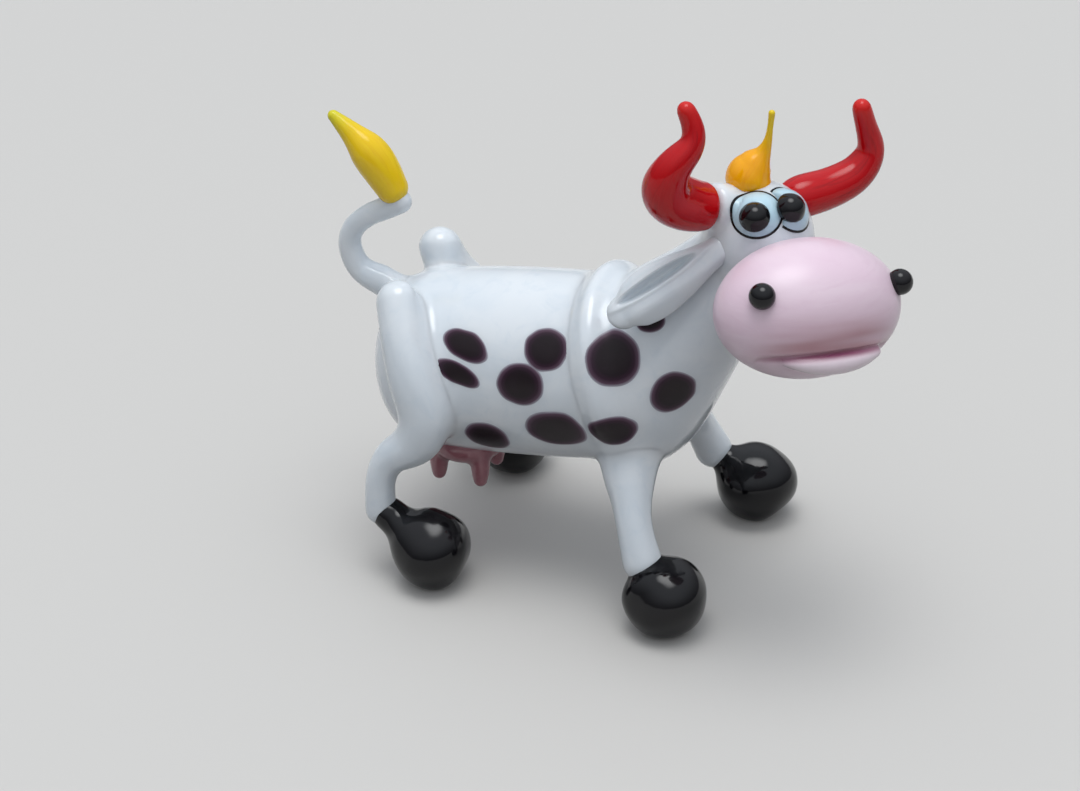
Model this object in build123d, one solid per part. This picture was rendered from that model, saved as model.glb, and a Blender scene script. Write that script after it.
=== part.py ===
from build123d import *
from math import cos, radians, sin, sqrt, tan
import os

# Cow figurine in solid flame-worked glass. Millimetres, +X to the nose, +Y to the cow's left, +Z up.
# The work starts behind the rump; at the end everything is moved so that the origin is the centre of
# the footprint on the ground. Each gather of glass is one piece; a gather that is laid on another has
# the other's form taken away from it, so that the two faces lie on one another along the fused seam.

# Trunk: a barrel turned about a line that rises to the front.
trunk_radius = 7.15
trunk_length = 22.5
trunk_height = 14.4
trunk_rise = 7.5
trunk_swell = 0.35
rump_forward = 0.9
rump_depth = 4.8

# Chest: the gather of shoulders and neck, lapped over the front of the trunk. Places are forward of the
# start and above the ground, tilts are of the gather's own line above the horizontal.
chest_start_forward = 18.2
chest_start_radius = 6.3
shoulder_forward = 21.4
shoulder_radius = 8.2
shoulder_lift = 0.3
chest_forward = 23.9
chest_height = 18.3
chest_radius = 7.2
throat_forward = 26.0
throat_height = 21.6
throat_radius = 5.7
nape_forward = 29.0
nape_height = 26.0
nape_radius = 4.2
shoulder_tilt = 17.0
chest_tilt = 26.0
throat_tilt = 41.0
nape_tilt = 52.0

# Head: an upright egg, turned to the cow's right and tipped to its left.
head_forward = 31.8
head_height = 30.2
head_radius = 4.2
head_half_height = 4.55
head_turn = -46.0
head_tip = -6.0

# Muzzle: a wide egg in front of and below the head.
muzzle_radius = 5.2
muzzle_half_width = 7.35
muzzle_reach = 8.3
muzzle_drop = 1.8
mouth_half_width = 6.0
mouth_half_gap = 0.3
mouth_depth = 1.9
lip_radius = 0.9
lip_drop = 0.95
lip_half_width = 4.5

# Beads of the face.
eye_radius = 1.85
eye_dome = 0.75
eye_rim_width = 0.2
eye_rim_dome = 0.5
pupil_radius = 1.1
pupil_sink = 0.35
nostril_radius = 0.98
nostril_stand = 0.35

# Horns, forelock and ears.
right_horn_radius = 2.15
left_horn_radius = 1.75
horn_reach = 6.0
horn_rise = 9.0
horn_lead = 2.0
forelock_radius = 1.75
forelock_lead = 0.6
forelock_lean = 0.85
forelock_rise = 5.7
ear_length = 9.6
ear_half_width = 2.05
ear_half_thickness = 0.95
ear_hollow_depth = 0.9

# Legs and hooves. Ankles and hooves are given per side where the two sides differ.
front_leg_radius = 1.75
front_leg_top_forward = 23.3
front_leg_top_spread = 3.2
front_leg_top_height = 14.5
front_ankle_forward = 26.0
front_ankle_spread = 9.0
front_ankle_height = 5.6
hind_leg_radius = 2.25
hind_ankle_forward = 4.1
hind_ankle_spread = 9.1
hind_ankle_height = 5.5
hip_forward = 4.0
hip_spread = 4.4
right_hip_height = 21.8
left_hip_height = 22.3
knee_forward = 7.5
knee_spread = 7.6
knee_height = 14.0
hoof_radius = 3.35
hoof_half_height = 3.25
sole_radius = 1.5
right_front_hoof_forward = 28.2
left_front_hoof_forward = 29.7
hind_hoof_forward = 8.4
hoof_spread = 9.5
tongue_radius = 1.25

# Tail and tuft.
tail_radius = 1.0
tail_root_forward = 3.2
tail_root_height = 19.7
tail_back = 5.2
tail_rise = 8.6
tuft_radius = 1.5
tuft_back = 5.6
tuft_rise = 6.8

# Udder, teats and the thickness of the dark dots.
udder_radius = 3.4
udder_depth = 2.0
udder_forward = 7.9
teat_radius = 0.8
teat_length = 2.6
teat_spacing = 3.6
spot_rise = 0.14

drop_share = 1.03
upward = Vector(0, 0, 1)
leftward = Vector(0, 1, 0)


def blend(values, span, part):
    """Smooth value at a part of one span of a row of values."""
    before = values[max(span - 1, 0)]
    first = values[span]
    second = values[span + 1]
    after = values[min(span + 2, len(values) - 1)]
    rise = (second - before) / 2
    fall = (after - first) / 2
    square = part * part
    cube = square * part
    return (first * (2 * cube - 3 * square + 1) + rise * (cube - 2 * square + part)
            + second * (3 * square - 2 * cube) + fall * (cube - square))


def drawn_rod(points, radii, round_start=True, round_end=True, reference=leftward):
    """Rod drawn through points, with a radius at each and a round drop at each end."""
    path = Spline(*points)
    marks = [path.param_at_point(place) for place in points]
    steps = 2
    stations = []
    for span in range(len(points) - 1):
        for step in range(steps):
            part = step / steps
            mark = marks[span] + (marks[span + 1] - marks[span]) * part
            stations.append((mark, blend(radii, span, part)))
    stations.append((marks[-1], radii[-1]))
    side = path.tangent_at(0).cross(reference)
    discs = []
    for mark, radius in stations:
        along = path.tangent_at(mark)
        side = (side - along * side.dot(along)).normalized()
        discs.append(Plane(origin=path.position_at(mark), x_dir=side, z_dir=along) * Circle(radius))
    rod = loft(discs)
    if round_start:
        rod += Pos(*points[0]) * drop_end(radii[0])
    if round_end:
        rod += Pos(*points[-1]) * drop_end(radii[-1])
    return rod


def drop_end(radius):
    """Ball that rounds the end of a rod, a little fuller than the rod."""
    return Sphere(radius * drop_share)


def egg(half_depth, half_width, half_height):
    return scale(Sphere(1), by=(half_depth, half_width, half_height))


def on_egg(half_sizes, turn, lift):
    """Seat on an egg: turn in degrees to the left of forward, lift in degrees up."""
    flat = cos(radians(lift))
    unit = (flat * cos(radians(turn)), flat * sin(radians(turn)), sin(radians(lift)))
    place = Vector(*(u * h for u, h in zip(unit, half_sizes)))
    out = Vector(*(u / h for u, h in zip(unit, half_sizes)))
    return Plane(origin=place, z_dir=out)


def along_shares(start, sizes, shares):
    """Points from a start, each a table row of shares of three sizes."""
    return [start + Vector(*(s * k for s, k in zip(sizes, row))) for row in shares]


def seat(piece, *carriers):
    """Largest solid of a piece after its carriers' glass is taken away."""
    for carrier in carriers:
        piece = piece - carrier
    return max(piece.solids(), key=lambda solid: solid.volume)


# Trunk and chest

trunk_place = Pos(rump_forward, 0, trunk_height) * Rot(0, -trunk_rise, 0)
quarter_angles = (0, 30, 60, 90)


def trunk_line(forward):
    """Height of the trunk's own line at a place forward of the start."""
    return trunk_height + (forward - rump_forward) * tan(radians(trunk_rise))


def trunk_solid(growth=0):
    """Barrel of revolution with a round rump; growth thickens it all round."""
    radius = trunk_radius + growth
    depth = rump_depth + growth
    quarter = []
    for angle in quarter_angles:
        quarter.append((rump_depth - depth * cos(radians(angle)), radius * sin(radians(angle))))
    rump = Spline(*quarter, tangents=((0, 1), (1, 0)))
    middle = (rump_depth + trunk_length) / 2
    flank = ThreePointArc((rump_depth, radius), (middle, radius + trunk_swell), (trunk_length, radius))
    edge = Polyline((trunk_length, radius), (trunk_length, 0), (-growth, 0))
    return trunk_place * revolve(make_face([rump, flank, edge]), Axis.X)


def chest_solid(growth=0):
    """Gather of shoulders, chest and neck; growth thickens it all round."""
    rows = [
        (chest_start_forward, trunk_line(chest_start_forward), chest_start_radius, shoulder_tilt),
        (shoulder_forward, trunk_line(shoulder_forward) + shoulder_lift, shoulder_radius, shoulder_tilt),
        (chest_forward, chest_height, chest_radius, chest_tilt),
        (throat_forward, throat_height, throat_radius, throat_tilt),
        (nape_forward, nape_height, nape_radius, nape_tilt),
        (head_forward, head_height, nape_radius * chest_end_share, nape_tilt),
    ]
    discs = []
    for forward, height, radius, tilt in rows:
        along = Vector(cos(radians(tilt)), 0, sin(radians(tilt)))
        across = Plane(origin=(forward, 0, height), x_dir=along.cross(leftward), z_dir=along)
        discs.append(across * Circle(radius + growth))
    return loft(discs)


chest_end_share = 0.75

# Head and face. Pairs of angles are given per side, as the two sides differ.

head_place = Pos(head_forward, 0, head_height) * Rot(0, 0, head_turn) * Rot(head_tip, 0, 0)
head_sizes = (head_radius, head_radius, head_half_height)
muzzle_sizes = (muzzle_radius, muzzle_half_width, muzzle_radius)
muzzle_place = head_place * Pos(muzzle_reach, 0, -muzzle_drop)
sides = {"right": -1, "left": 1}
eye_turns = {"right": -38.0, "left": 22.0}
eye_lifts = {"right": 42.0, "left": 46.0}
nostril_turns = {"right": -57.0, "left": 66.0}
nostril_lifts = {"right": 30.0, "left": 26.0}
mouth_turn = -2.0
mouth_lift = -15.0
mouth_tilt = 20.0
mouth_roll = 2.2
lip_shares = (-1.0, -0.5, 0.05, 0.6, 1.12)
lip_radius_shares = (0.4, 0.85, 1.0, 0.92, 0.65)


def in_head(points):
    """Points given in the head's own frame, moved to the cow's."""
    return [(head_place * Pos(*place)).position for place in points]


def head_solid():
    return head_place * egg(*head_sizes)


def mouth_seat():
    """Middle of the mouth line in the muzzle's frame; its XY plane is the plane of the mouth."""
    front = on_egg(muzzle_sizes, mouth_turn, mouth_lift).origin
    return Pos(*front) * Rot(0, 0, mouth_turn) * Rot(0, -mouth_tilt, 0) * Rot(mouth_roll, 0, 0)


def mouth_blade():
    """Thin oval blade that presses the line of the mouth into the muzzle and the lip."""
    blade = extrude(Ellipse(mouth_depth, mouth_half_width), mouth_half_gap, both=True)
    return muzzle_place * mouth_seat() * blade


def muzzle_egg():
    return muzzle_place * Rot(0, -90, 0) * egg(*muzzle_sizes)


def lip_solid():
    """Strand laid on the muzzle along the lower edge of the mouth, thin at both ends."""
    points = []
    for share in lip_shares:
        place = (mouth_seat() * Pos(0, lip_half_width * share, -lip_drop)).position
        reach = sqrt(sum((part / half) ** 2 for part, half in zip(place, muzzle_sizes)))
        points.append((muzzle_place * Pos(*(place / reach))).position)
    return drawn_rod(points, [lip_radius * share for share in lip_radius_shares], reference=upward)


def eye_seat(name):
    return head_place * on_egg(head_sizes, eye_turns[name], eye_lifts[name]).location


def eye_dot(name, radius, dome):
    return eye_seat(name) * egg(radius, radius, dome)


def pupil_solid(name):
    return eye_seat(name) * Pos(0, 0, eye_dome - pupil_sink) * Sphere(pupil_radius)


def nostril_solid(name):
    place = on_egg(muzzle_sizes, nostril_turns[name], nostril_lifts[name]).location
    return muzzle_place * place * Pos(0, 0, nostril_stand) * Sphere(nostril_radius)


# Horns: rows of shares of lead, reach and rise from the side of the head, and shares of the radius.

horn_root_turn = 97.0
horn_root_lift = 33.0
horn_radii = {"right": right_horn_radius, "left": left_horn_radius}
horn_shares = {
    "right": [(0, -0.35, -0.05), (0, 0.1, 0.06), (0.15, 0.5, 0.1), (0.4, 0.9, 0.25),
              (0.8, 0.95, 0.5), (0.9, 0.76, 0.7), (0.75, 0.68, 0.85), (0.55, 0.75, 0.98)],
    "left": [(0, -0.4, -0.05), (0, -0.05, 0.05), (0, 0.37, 0.11), (0, 0.73, 0.22),
             (0, 0.9, 0.4), (0, 0.86, 0.53), (0, 0.77, 0.66), (0, 0.67, 0.82)],
}
horn_radius_shares = {
    "right": [0.85, 0.95, 1.0, 0.97, 0.7, 0.5, 0.41, 0.32],
    "left": [0.95, 1.0, 0.95, 0.86, 0.7, 0.58, 0.5, 0.43],
}


def horn_solid(name):
    side = sides[name]
    root = on_egg(head_sizes, side * horn_root_turn, horn_root_lift).origin
    points = in_head(along_shares(root, (horn_lead, side * horn_reach, horn_rise), horn_shares[name]))
    radii = [horn_radii[name] * share for share in horn_radius_shares[name]]
    return drawn_rod(points, radii, round_start=False, reference=upward)


forelock_turn = -142.0
forelock_lift = 69.0
forelock_shares = [(0, 0, -0.12), (0, 0, 0.07), (0.25, 0.4, 0.27), (0.6, 0.85, 0.44),
                   (0.85, 1.05, 0.61), (0.97, 1.05, 0.82), (1.0, 1.0, 1.0)]
forelock_radius_shares = [0.8, 1.0, 0.8, 0.36, 0.19, 0.13, 0.155]


def forelock_solid():
    """Drop laid on the crown and drawn out to a thread that ends in a tiny ball."""
    root = on_egg(head_sizes, forelock_turn, forelock_lift).origin
    sizes = (forelock_lead, forelock_lean, forelock_rise)
    points = in_head(along_shares(root, sizes, forelock_shares))
    return drawn_rod(points, [forelock_radius * share for share in forelock_radius_shares], round_start=False)


# Ears: the leaf lies along its aim and shows its hollow to its face direction, both in the head's frame.

ear_turn = 79.0
ear_lifts = {"right": -5.0, "left": -16.0}
ear_aim_shares = (-0.3, 0.68, -0.67)
ear_face_shares = (0.73, 0.6, 0.31)
ear_rows_share = [(-0.12, 0.5), (0.1, 0.62), (0.32, 0.86), (0.56, 1.0), (0.75, 0.9), (0.87, 0.62)]
ear_hollow_length_share = 0.4
ear_hollow_width_share = 0.36
ear_hollow_place_share = 0.5


def ear_solid(name):
    """Pressed leaf: flat ovals drawn along the ear, with a long hollow on its outer face."""
    side = sides[name]
    root = on_egg(head_sizes, side * ear_turn, ear_lifts[name]).origin
    aim = Vector(ear_aim_shares[0], side * ear_aim_shares[1], ear_aim_shares[2])
    face = Vector(ear_face_shares[0], side * ear_face_shares[1], ear_face_shares[2])
    ovals = []
    for place_share, size_share in ear_rows_share:
        oval = Ellipse(ear_half_width * size_share, ear_half_thickness * sqrt(size_share))
        across = Plane(origin=(ear_length * place_share, 0, 0), x_dir=leftward, z_dir=(1, 0, 0))
        ovals.append(across * oval)
    leaf = loft(ovals)
    tip_place, tip_share = ear_rows_share[-1]
    tip_width = ear_half_width * tip_share
    tip_thickness = ear_half_thickness * sqrt(tip_share)
    leaf += Pos(ear_length * tip_place, 0, 0) * egg(tip_width, tip_width, tip_thickness)
    hollow_radius = ear_half_width * ear_hollow_width_share
    hollow = egg(ear_length * ear_hollow_length_share, hollow_radius, hollow_radius)
    hollow_height = ear_half_thickness + hollow_radius - ear_hollow_depth
    leaf -= Pos(ear_length * ear_hollow_place_share, 0, hollow_height) * hollow
    return head_place * Plane(origin=root, x_dir=aim, z_dir=face).location * leaf


# Legs and hooves

front_leg_shares = [(0, 0, 0), (0.11, 0.345, 0.29), (0.45, 0.71, 0.56), (0.74, 0.91, 0.8), (1, 1, 1)]
front_leg_radius_shares = [1.45, 1.4, 0.92, 0.82, 0.98]


def front_ankle(side):
    return Vector(front_ankle_forward, side * front_ankle_spread, front_ankle_height)


def front_leg_solid(side):
    """Rod from inside the chest out and down to the ankle, wider at both ends."""
    top = Vector(front_leg_top_forward, side * front_leg_top_spread, front_leg_top_height)
    run = front_ankle(side) - top
    points = along_shares(top, (run.X, run.Y, run.Z), front_leg_shares)
    radii = [front_leg_radius * share for share in front_leg_radius_shares]
    return drawn_rod(points, radii, round_start=False)


hip_heights = {"right": right_hip_height, "left": left_hip_height}
thigh_shares = {
    "right": [(0.3, 0.48, 0.27), (0.68, 0.84, 0.63)],
    "left": [(0.08, 0.42, 0.29), (0.54, 0.82, 0.65)],
}
shin_shares = [(0.22, 0.3, 0.27), (0.8, 0.65, 0.47), (1.03, 0.88, 0.72)]
hind_radius_shares = [0.75, 0.85, 0.97, 1.0, 0.85, 0.62, 0.54, 0.58]


def hind_ankle(side):
    return Vector(hind_ankle_forward, side * hind_ankle_spread, hind_ankle_height)


def hind_leg_solid(name):
    """One rod: knob on the hip, thigh against the trunk, knee, hock, shin and ankle."""
    side = sides[name]
    hip = Vector(hip_forward, side * hip_spread, hip_heights[name])
    knee = Vector(knee_forward, side * knee_spread, knee_height)
    ankle = hind_ankle(side)
    thigh = knee - hip
    shin = ankle - knee
    points = [hip]
    points += along_shares(hip, (thigh.X, thigh.Y, thigh.Z), thigh_shares[name])
    points.append(knee)
    points += along_shares(knee, (shin.X, shin.Y, shin.Z), shin_shares)
    points.append(ankle)
    return drawn_rod(points, [hind_leg_radius * share for share in hind_radius_shares])


def hoof_solid(side, hoof_forward, ankle):
    """Ball with a small flat sole and a tongue up to the ankle."""
    rise = sqrt(1 - (sole_radius / hoof_radius) ** 2) * hoof_half_height
    ground = (Align.CENTER, Align.CENTER, Align.MAX)
    ball = egg(hoof_radius, hoof_radius, hoof_half_height)
    ball -= Pos(0, 0, -rise) * Box(hoof_radius * 2, hoof_radius * 2, hoof_half_height, align=ground)
    centre = Vector(hoof_forward, side * hoof_spread, rise)
    middle = (centre + ankle) / 2
    tongue = drawn_rod([ankle, middle, centre], [tongue_radius] * 3, round_end=False)
    return Pos(*centre) * ball + tongue


# Tail: rows of shares of the reach back and the rise from its root; the tuft starts at its end.

tail_shares = [(0, 0, 0), (-0.45, 0, 0.13), (-0.83, 0, 0.23), (-1.0, 0, 0.44), (-0.93, 0, 0.64),
               (-0.67, 0, 0.8), (-0.36, 0, 0.91), (-0.14, 0, 0.99)]
tail_radius_shares = [1.6, 1.3, 1.05, 0.95, 0.92, 0.92, 0.95, 0.95]
tuft_shares = [(-0.1, 0, 0.1), (-0.24, 0, 0.34), (-0.43, 0, 0.58), (-0.69, 0, 0.79), (-1.0, 0, 1.0)]
tuft_radius_shares = [0.75, 1.0, 0.95, 0.55, 0.25]


def tail_points():
    root = Vector(tail_root_forward, 0, tail_root_height)
    return along_shares(root, (tail_back, 0, tail_rise), tail_shares)


def tail_solid():
    return drawn_rod(tail_points(), [tail_radius * share for share in tail_radius_shares], round_start=False)


def tuft_solid():
    points = along_shares(tail_points()[-1], (tuft_back, 0, tuft_rise), tuft_shares)
    return drawn_rod(points, [tuft_radius * share for share in tuft_radius_shares])


# Udder and teats

udder_place = Pos(udder_forward, 0, trunk_line(udder_forward) - trunk_radius)
teat_tip_share = 0.6


def udder_solid():
    return udder_place * egg(udder_radius, udder_radius, udder_depth)


def teat_solid(along, side):
    """Short point drawn down from the udder, one at each corner of a square."""
    spread = teat_spacing / 2
    drop = sqrt(1 - 2 * (spread / udder_radius) ** 2) * udder_depth
    top = Vector(along * spread, side * spread, teat_radius - drop)
    tip = top - upward * teat_length
    radii = [teat_radius, teat_radius, teat_radius * teat_tip_share]
    return udder_place * drawn_rod([top, (top + tip) / 2, tip], radii)


# Spots. Rows for the trunk: share of its length from the rump, degrees down from the top, half length
# and half height as shares of its radius, tilt in degrees. Rows for the chest: shares of the way from
# the shoulder to the throat, degrees down from the top, the same two shares, tilt.

trunk_spot_shares = {
    "right": [(0.445, 54.5, 0.3, 0.16, -25.0), (0.42, 71.5, 0.28, 0.12, -25.0), (0.655, 76.0, 0.27, 0.24, 0.0),
              (0.745, 54.5, 0.26, 0.24, 0.0), (0.49, 118.0, 0.26, 0.26, 0.0), (0.763, 106.5, 0.36, 0.26, 0.0)],
    "left": [(0.42, 56.0, 0.28, 0.2, -20.0), (0.57, 82.0, 0.29, 0.22, 10.0), (0.72, 54.0, 0.25, 0.21, 0.0),
             (0.48, 114.0, 0.26, 0.2, 0.0), (0.73, 108.0, 0.32, 0.23, 0.0)],
}
chest_spot_shares = {
    "right": [(0.481, 69.5, 0.27, 0.31, 0.0), (0.96, 118.0, 0.23, 0.23, 0.0),
              (0.125, 105.5, 0.28, 0.19, -20.0), (1.03, 63.0, 0.17, 0.15, 0.0)],
    "left": [(0.5, 64.0, 0.26, 0.28, 0.0), (0.9, 114.0, 0.23, 0.22, 0.0), (0.2, 104.0, 0.26, 0.18, -15.0)],
}


def spot_prism(look, long_half, high_half, reach):
    """Oval bar along the look direction, whose cut with a thin skin is one dot."""
    return look * extrude(Ellipse(long_half, high_half), reach)


def trunk_spots(name, skin):
    dots = []
    for place, angle, long_share, high_share, tilt in trunk_spot_shares[name]:
        turn = Rot(-sides[name] * angle, 0, 0) * Rot(0, 0, -sides[name] * tilt)
        look = trunk_place * Pos(trunk_length * place, 0, 0) * turn
        bar = spot_prism(look, trunk_radius * long_share, trunk_radius * high_share, trunk_radius * 2)
        dots.append(skin & bar)
    return dots


def chest_spots(name, skin):
    start = Vector(shoulder_forward, 0, trunk_line(shoulder_forward))
    end = Vector(throat_forward, 0, throat_height)
    dots = []
    for place, angle, long_share, high_share, tilt in chest_spot_shares[name]:
        turn = Rot(-sides[name] * angle, 0, 0) * Rot(0, 0, -sides[name] * tilt)
        look = Pos(*(start + (end - start) * place)) * Rot(0, -chest_tilt, 0) * turn
        bar = spot_prism(look, chest_radius * long_share, chest_radius * high_share, chest_radius * 2)
        dots.append(skin & bar)
    return dots


def cow():
    trunk = trunk_solid()
    chest = chest_solid()
    head = head_solid()
    muzzle = muzzle_egg()
    mouth = mouth_blade()
    nodes = {"trunk": trunk, "head": head}
    nodes["chest"] = seat(chest, trunk, head)
    nodes["muzzle"] = seat(muzzle, head, chest, mouth)
    nodes["lower_lip"] = seat(lip_solid(), muzzle, mouth)
    eyes = []
    for name in sides:
        white = eye_dot(name, eye_radius, eye_dome)
        rim = eye_dot(name, eye_radius + eye_rim_width, eye_rim_dome)
        nodes[name + "_eye_white"] = seat(white, head, *eyes)
        nodes[name + "_eye_rim"] = seat(rim, head, white, *eyes)
        eyes += [white, rim]
    for name, side in sides.items():
        horn = horn_solid(name)
        front_leg = front_leg_solid(side)
        hind_leg = hind_leg_solid(name)
        hoof_forward = right_front_hoof_forward if name == "right" else left_front_hoof_forward
        nodes[name + "_pupil"] = seat(pupil_solid(name), head, *eyes)
        nodes[name + "_nostril"] = seat(nostril_solid(name), muzzle)
        nodes[name + "_horn"] = seat(horn, head, chest, *eyes)
        nodes[name + "_ear"] = seat(ear_solid(name), head, chest, muzzle)
        nodes[name + "_front_leg"] = seat(front_leg, chest, trunk)
        nodes[name + "_hind_leg"] = seat(hind_leg, trunk)
        nodes[name + "_front_hoof"] = seat(hoof_solid(side, hoof_forward, front_ankle(side)), front_leg)
        nodes[name + "_hind_hoof"] = seat(hoof_solid(side, hind_hoof_forward, hind_ankle(side)), hind_leg)
    nodes["forelock"] = seat(forelock_solid(), head, nodes["right_horn"], *eyes)
    tail = tail_solid()
    udder = udder_solid()
    nodes["tail"] = seat(tail, trunk)
    nodes["tail_tuft"] = seat(tuft_solid(), tail)
    nodes["udder"] = seat(udder, trunk)
    corners = [(along, side) for along in sides.values() for side in sides.values()]
    nodes["teats"] = Compound([seat(teat_solid(along, side), udder, trunk) for along, side in corners])
    trunk_skin = trunk_solid(spot_rise) - trunk
    chest_skin = chest_solid(spot_rise) - chest
    for name in sides:
        legs = (nodes[name + "_hind_leg"], nodes[name + "_front_leg"])
        dots = [seat(dot, chest, *legs) for dot in trunk_spots(name, trunk_skin)]
        nodes["trunk_spots_" + name] = Compound(dots)
        ear = nodes[name + "_ear"]
        dots = [seat(dot, trunk, ear, *legs) for dot in chest_spots(name, chest_skin)]
        nodes["chest_spots_" + name] = Compound(dots)
    return nodes


def main():
    nodes = cow()
    box = Compound(list(nodes.values())).bounding_box()
    centre = box.center()
    stand = Pos(-centre.X, -centre.Y, -box.min.Z)
    os.makedirs("parts", exist_ok=True)
    for name, piece in nodes.items():
        moved = stand * piece
        moved.label = name
        export_step(moved, os.path.join("parts", name + ".step"))
        print(name, len(moved.solids()), round(moved.volume, 2))


main()
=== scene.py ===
# %% [markdown]
# # A flame-worked glass cow
# The real figure is made at a torch from rods of coloured glass. Soft gathers are laid on one another,
# so every piece is a drawn rod, a pressed leaf or a round bead, and the white ones melt together where
# they touch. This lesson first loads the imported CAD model, which fixes every place and size, and then
# rebuilds each piece with finer surfaces and glass finishes.

# %% Load the frame
import math

import bpy
import numpy as np
from mathutils import Matrix, Vector, noise
from mathutils.bvhtree import BVHTree


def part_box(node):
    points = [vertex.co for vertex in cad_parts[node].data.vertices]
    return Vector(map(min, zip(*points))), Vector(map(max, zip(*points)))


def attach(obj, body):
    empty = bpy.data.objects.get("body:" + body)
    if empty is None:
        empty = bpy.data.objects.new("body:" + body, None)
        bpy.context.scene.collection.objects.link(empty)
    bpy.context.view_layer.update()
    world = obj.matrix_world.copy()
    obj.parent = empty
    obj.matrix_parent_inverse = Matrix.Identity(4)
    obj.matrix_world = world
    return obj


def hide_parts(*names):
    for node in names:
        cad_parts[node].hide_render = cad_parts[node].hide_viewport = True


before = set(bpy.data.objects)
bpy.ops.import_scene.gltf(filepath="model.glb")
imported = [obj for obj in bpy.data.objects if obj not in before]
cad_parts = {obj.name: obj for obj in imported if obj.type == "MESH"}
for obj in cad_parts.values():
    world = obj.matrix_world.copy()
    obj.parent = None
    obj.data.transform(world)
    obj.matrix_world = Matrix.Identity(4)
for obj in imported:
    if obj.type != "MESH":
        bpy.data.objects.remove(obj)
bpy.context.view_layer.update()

MM = 0.001
BODY = "root"

# %% [markdown]
# ## One ruler for both models
# The CAD model was laid out in millimetres from a point behind the rump, and then moved so that its
# footprint is centred. The same two steps here let the same plain numbers place every piece. The shift
# is read from the box of one hoof, whose place in that first layout is known.

# %% The shared ruler
HOOF_SPREAD = 9.5
HOOF_RADIUS = 3.35
HIND_HOOF_FORWARD = 8.4

hoof_low, hoof_high = (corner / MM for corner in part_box("right_hind_hoof"))
SHIFT = Vector((hoof_high.x - HIND_HOOF_FORWARD - HOOF_RADIUS, hoof_low.y + HOOF_SPREAD + HOOF_RADIUS, 0))
STAND = Matrix.Scale(MM, 4) @ Matrix.Translation(SHIFT)
SIDES = {"right": -1, "left": 1}
print("shift from the rump to the footprint's middle, mm:", [round(c, 3) for c in SHIFT])


def turned(degrees, axis):
    return Matrix.Rotation(math.radians(degrees), 4, axis)


def moved(x, y, z):
    return Matrix.Translation((x, y, z))


def by_shares(start, sizes, shares):
    """Points from a start, each row holding shares of three sizes."""
    return [Vector(start) + Vector([s * k for s, k in zip(sizes, row)]) for row in shares]


# %% [markdown]
# ## A small hand for meshes
# Almost every piece needs the same few things: an object in the scene, a mesh from points and faces, its
# numbers as arrays, values kept at its points, and the plain mesh that its modifiers make. Node trees can
# turn a skin inside out when a line bends, so the volume's sign is measured and the faces are turned where
# it is negative.

# %% Mesh helpers
def placed(name, data):
    thing = bpy.data.objects.new(name, data)
    bpy.context.scene.collection.objects.link(thing)
    return thing


def applied(thing):
    """Plain mesh of an object with its modifiers, after which the object goes."""
    graph = bpy.context.evaluated_depsgraph_get()
    mesh = bpy.data.meshes.new_from_object(thing.evaluated_get(graph))
    bpy.data.objects.remove(thing)
    return mesh


def raw_mesh(points, faces, edges=()):
    mesh = bpy.data.meshes.new("raw")
    mesh.from_pydata(points, edges, faces)
    return mesh


def numbers(items, field, width, kind=float):
    """Values of a field as rows, one row an item."""
    values = np.empty(len(items) * width, kind)
    items.foreach_get(field, values)
    return values.reshape(-1, width)


def store(mesh, name, values, kind="FLOAT"):
    """Keeps values at the points of a mesh, for node trees and finishes."""
    field = "vector" if kind == "FLOAT_VECTOR" else "value"
    mesh.attributes.new(name, kind, "POINT").data.foreach_set(field, values)


def smoothed(mesh):
    for face in mesh.polygons:
        face.use_smooth = True
    return mesh


def mesh_arrays(mesh):
    mesh.calc_loop_triangles()
    return numbers(mesh.vertices, "co", 3), numbers(mesh.loop_triangles, "vertices", 3, np.int64)


def volume(mesh):
    points, faces = mesh_arrays(mesh)
    a, b, c = (points[faces[:, k]] for k in range(3))
    return float(np.einsum("ij,ij->i", a, np.cross(b, c)).sum() / 6)


def outward(mesh):
    if volume(mesh) < 0:
        mesh.flip_normals()
    return mesh


# %% [markdown]
# ## A small hand for node trees
# Node trees get long when every link is written out. One helper makes a node, sets its fields and fills
# its inputs, where a socket is linked and anything else is a plain value. Another gives the node's first
# output at once. Both geometry trees below bend a grid of rings and sides, and both end alike.

# %% Node helpers
def fill(tree, socket, value):
    if isinstance(value, bpy.types.NodeSocket):
        tree.links.new(value, socket)
    else:
        socket.default_value = value


def add(tree, kind, settings=(), **fills):
    made = tree.nodes.new(kind)
    for field, value in dict(settings).items():
        setattr(made, field, value)
    for key, value in fills.items():
        name = key.replace("_", " ")
        fill(tree, next(s for s in made.inputs if s.name == name and s.enabled), value)
    return made


def wire(tree, kind, settings=(), **fills):
    return add(tree, kind, settings, **fills).outputs[0]


def filled(tree, made, values):
    """Fills the inputs of a node by their places and gives its first output."""
    for place, value in enumerate(values):
        fill(tree, made.inputs[place], value)
    return made.outputs[0]


def maths(tree, operation, *values):
    return filled(tree, add(tree, "ShaderNodeMath", {"operation": operation}), values)


def vectors(tree, operation, *values):
    return filled(tree, add(tree, "ShaderNodeVectorMath", {"operation": operation}), values)


def scaled(tree, vector, scale):
    return wire(tree, "ShaderNodeVectorMath", {"operation": "SCALE"}, Vector=vector, Scale=scale)


def mixed(tree, share, first, second):
    """Colour between two, each a socket or a plain colour, by a share from 0 to 1."""
    made = add(tree, "ShaderNodeMix", {"data_type": "RGBA"})
    for place, value in ((0, share), (6, first), (7, second)):
        fill(tree, made.inputs[place], value)
    return made.outputs[2]


def soft_step(tree, value, low, high):
    """Share from 0 to 1 between two limits, with soft ends."""
    return wire(tree, "ShaderNodeMapRange", {"interpolation_type": "SMOOTHSTEP"}, Value=value, From_Min=low,
                From_Max=high)


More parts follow.
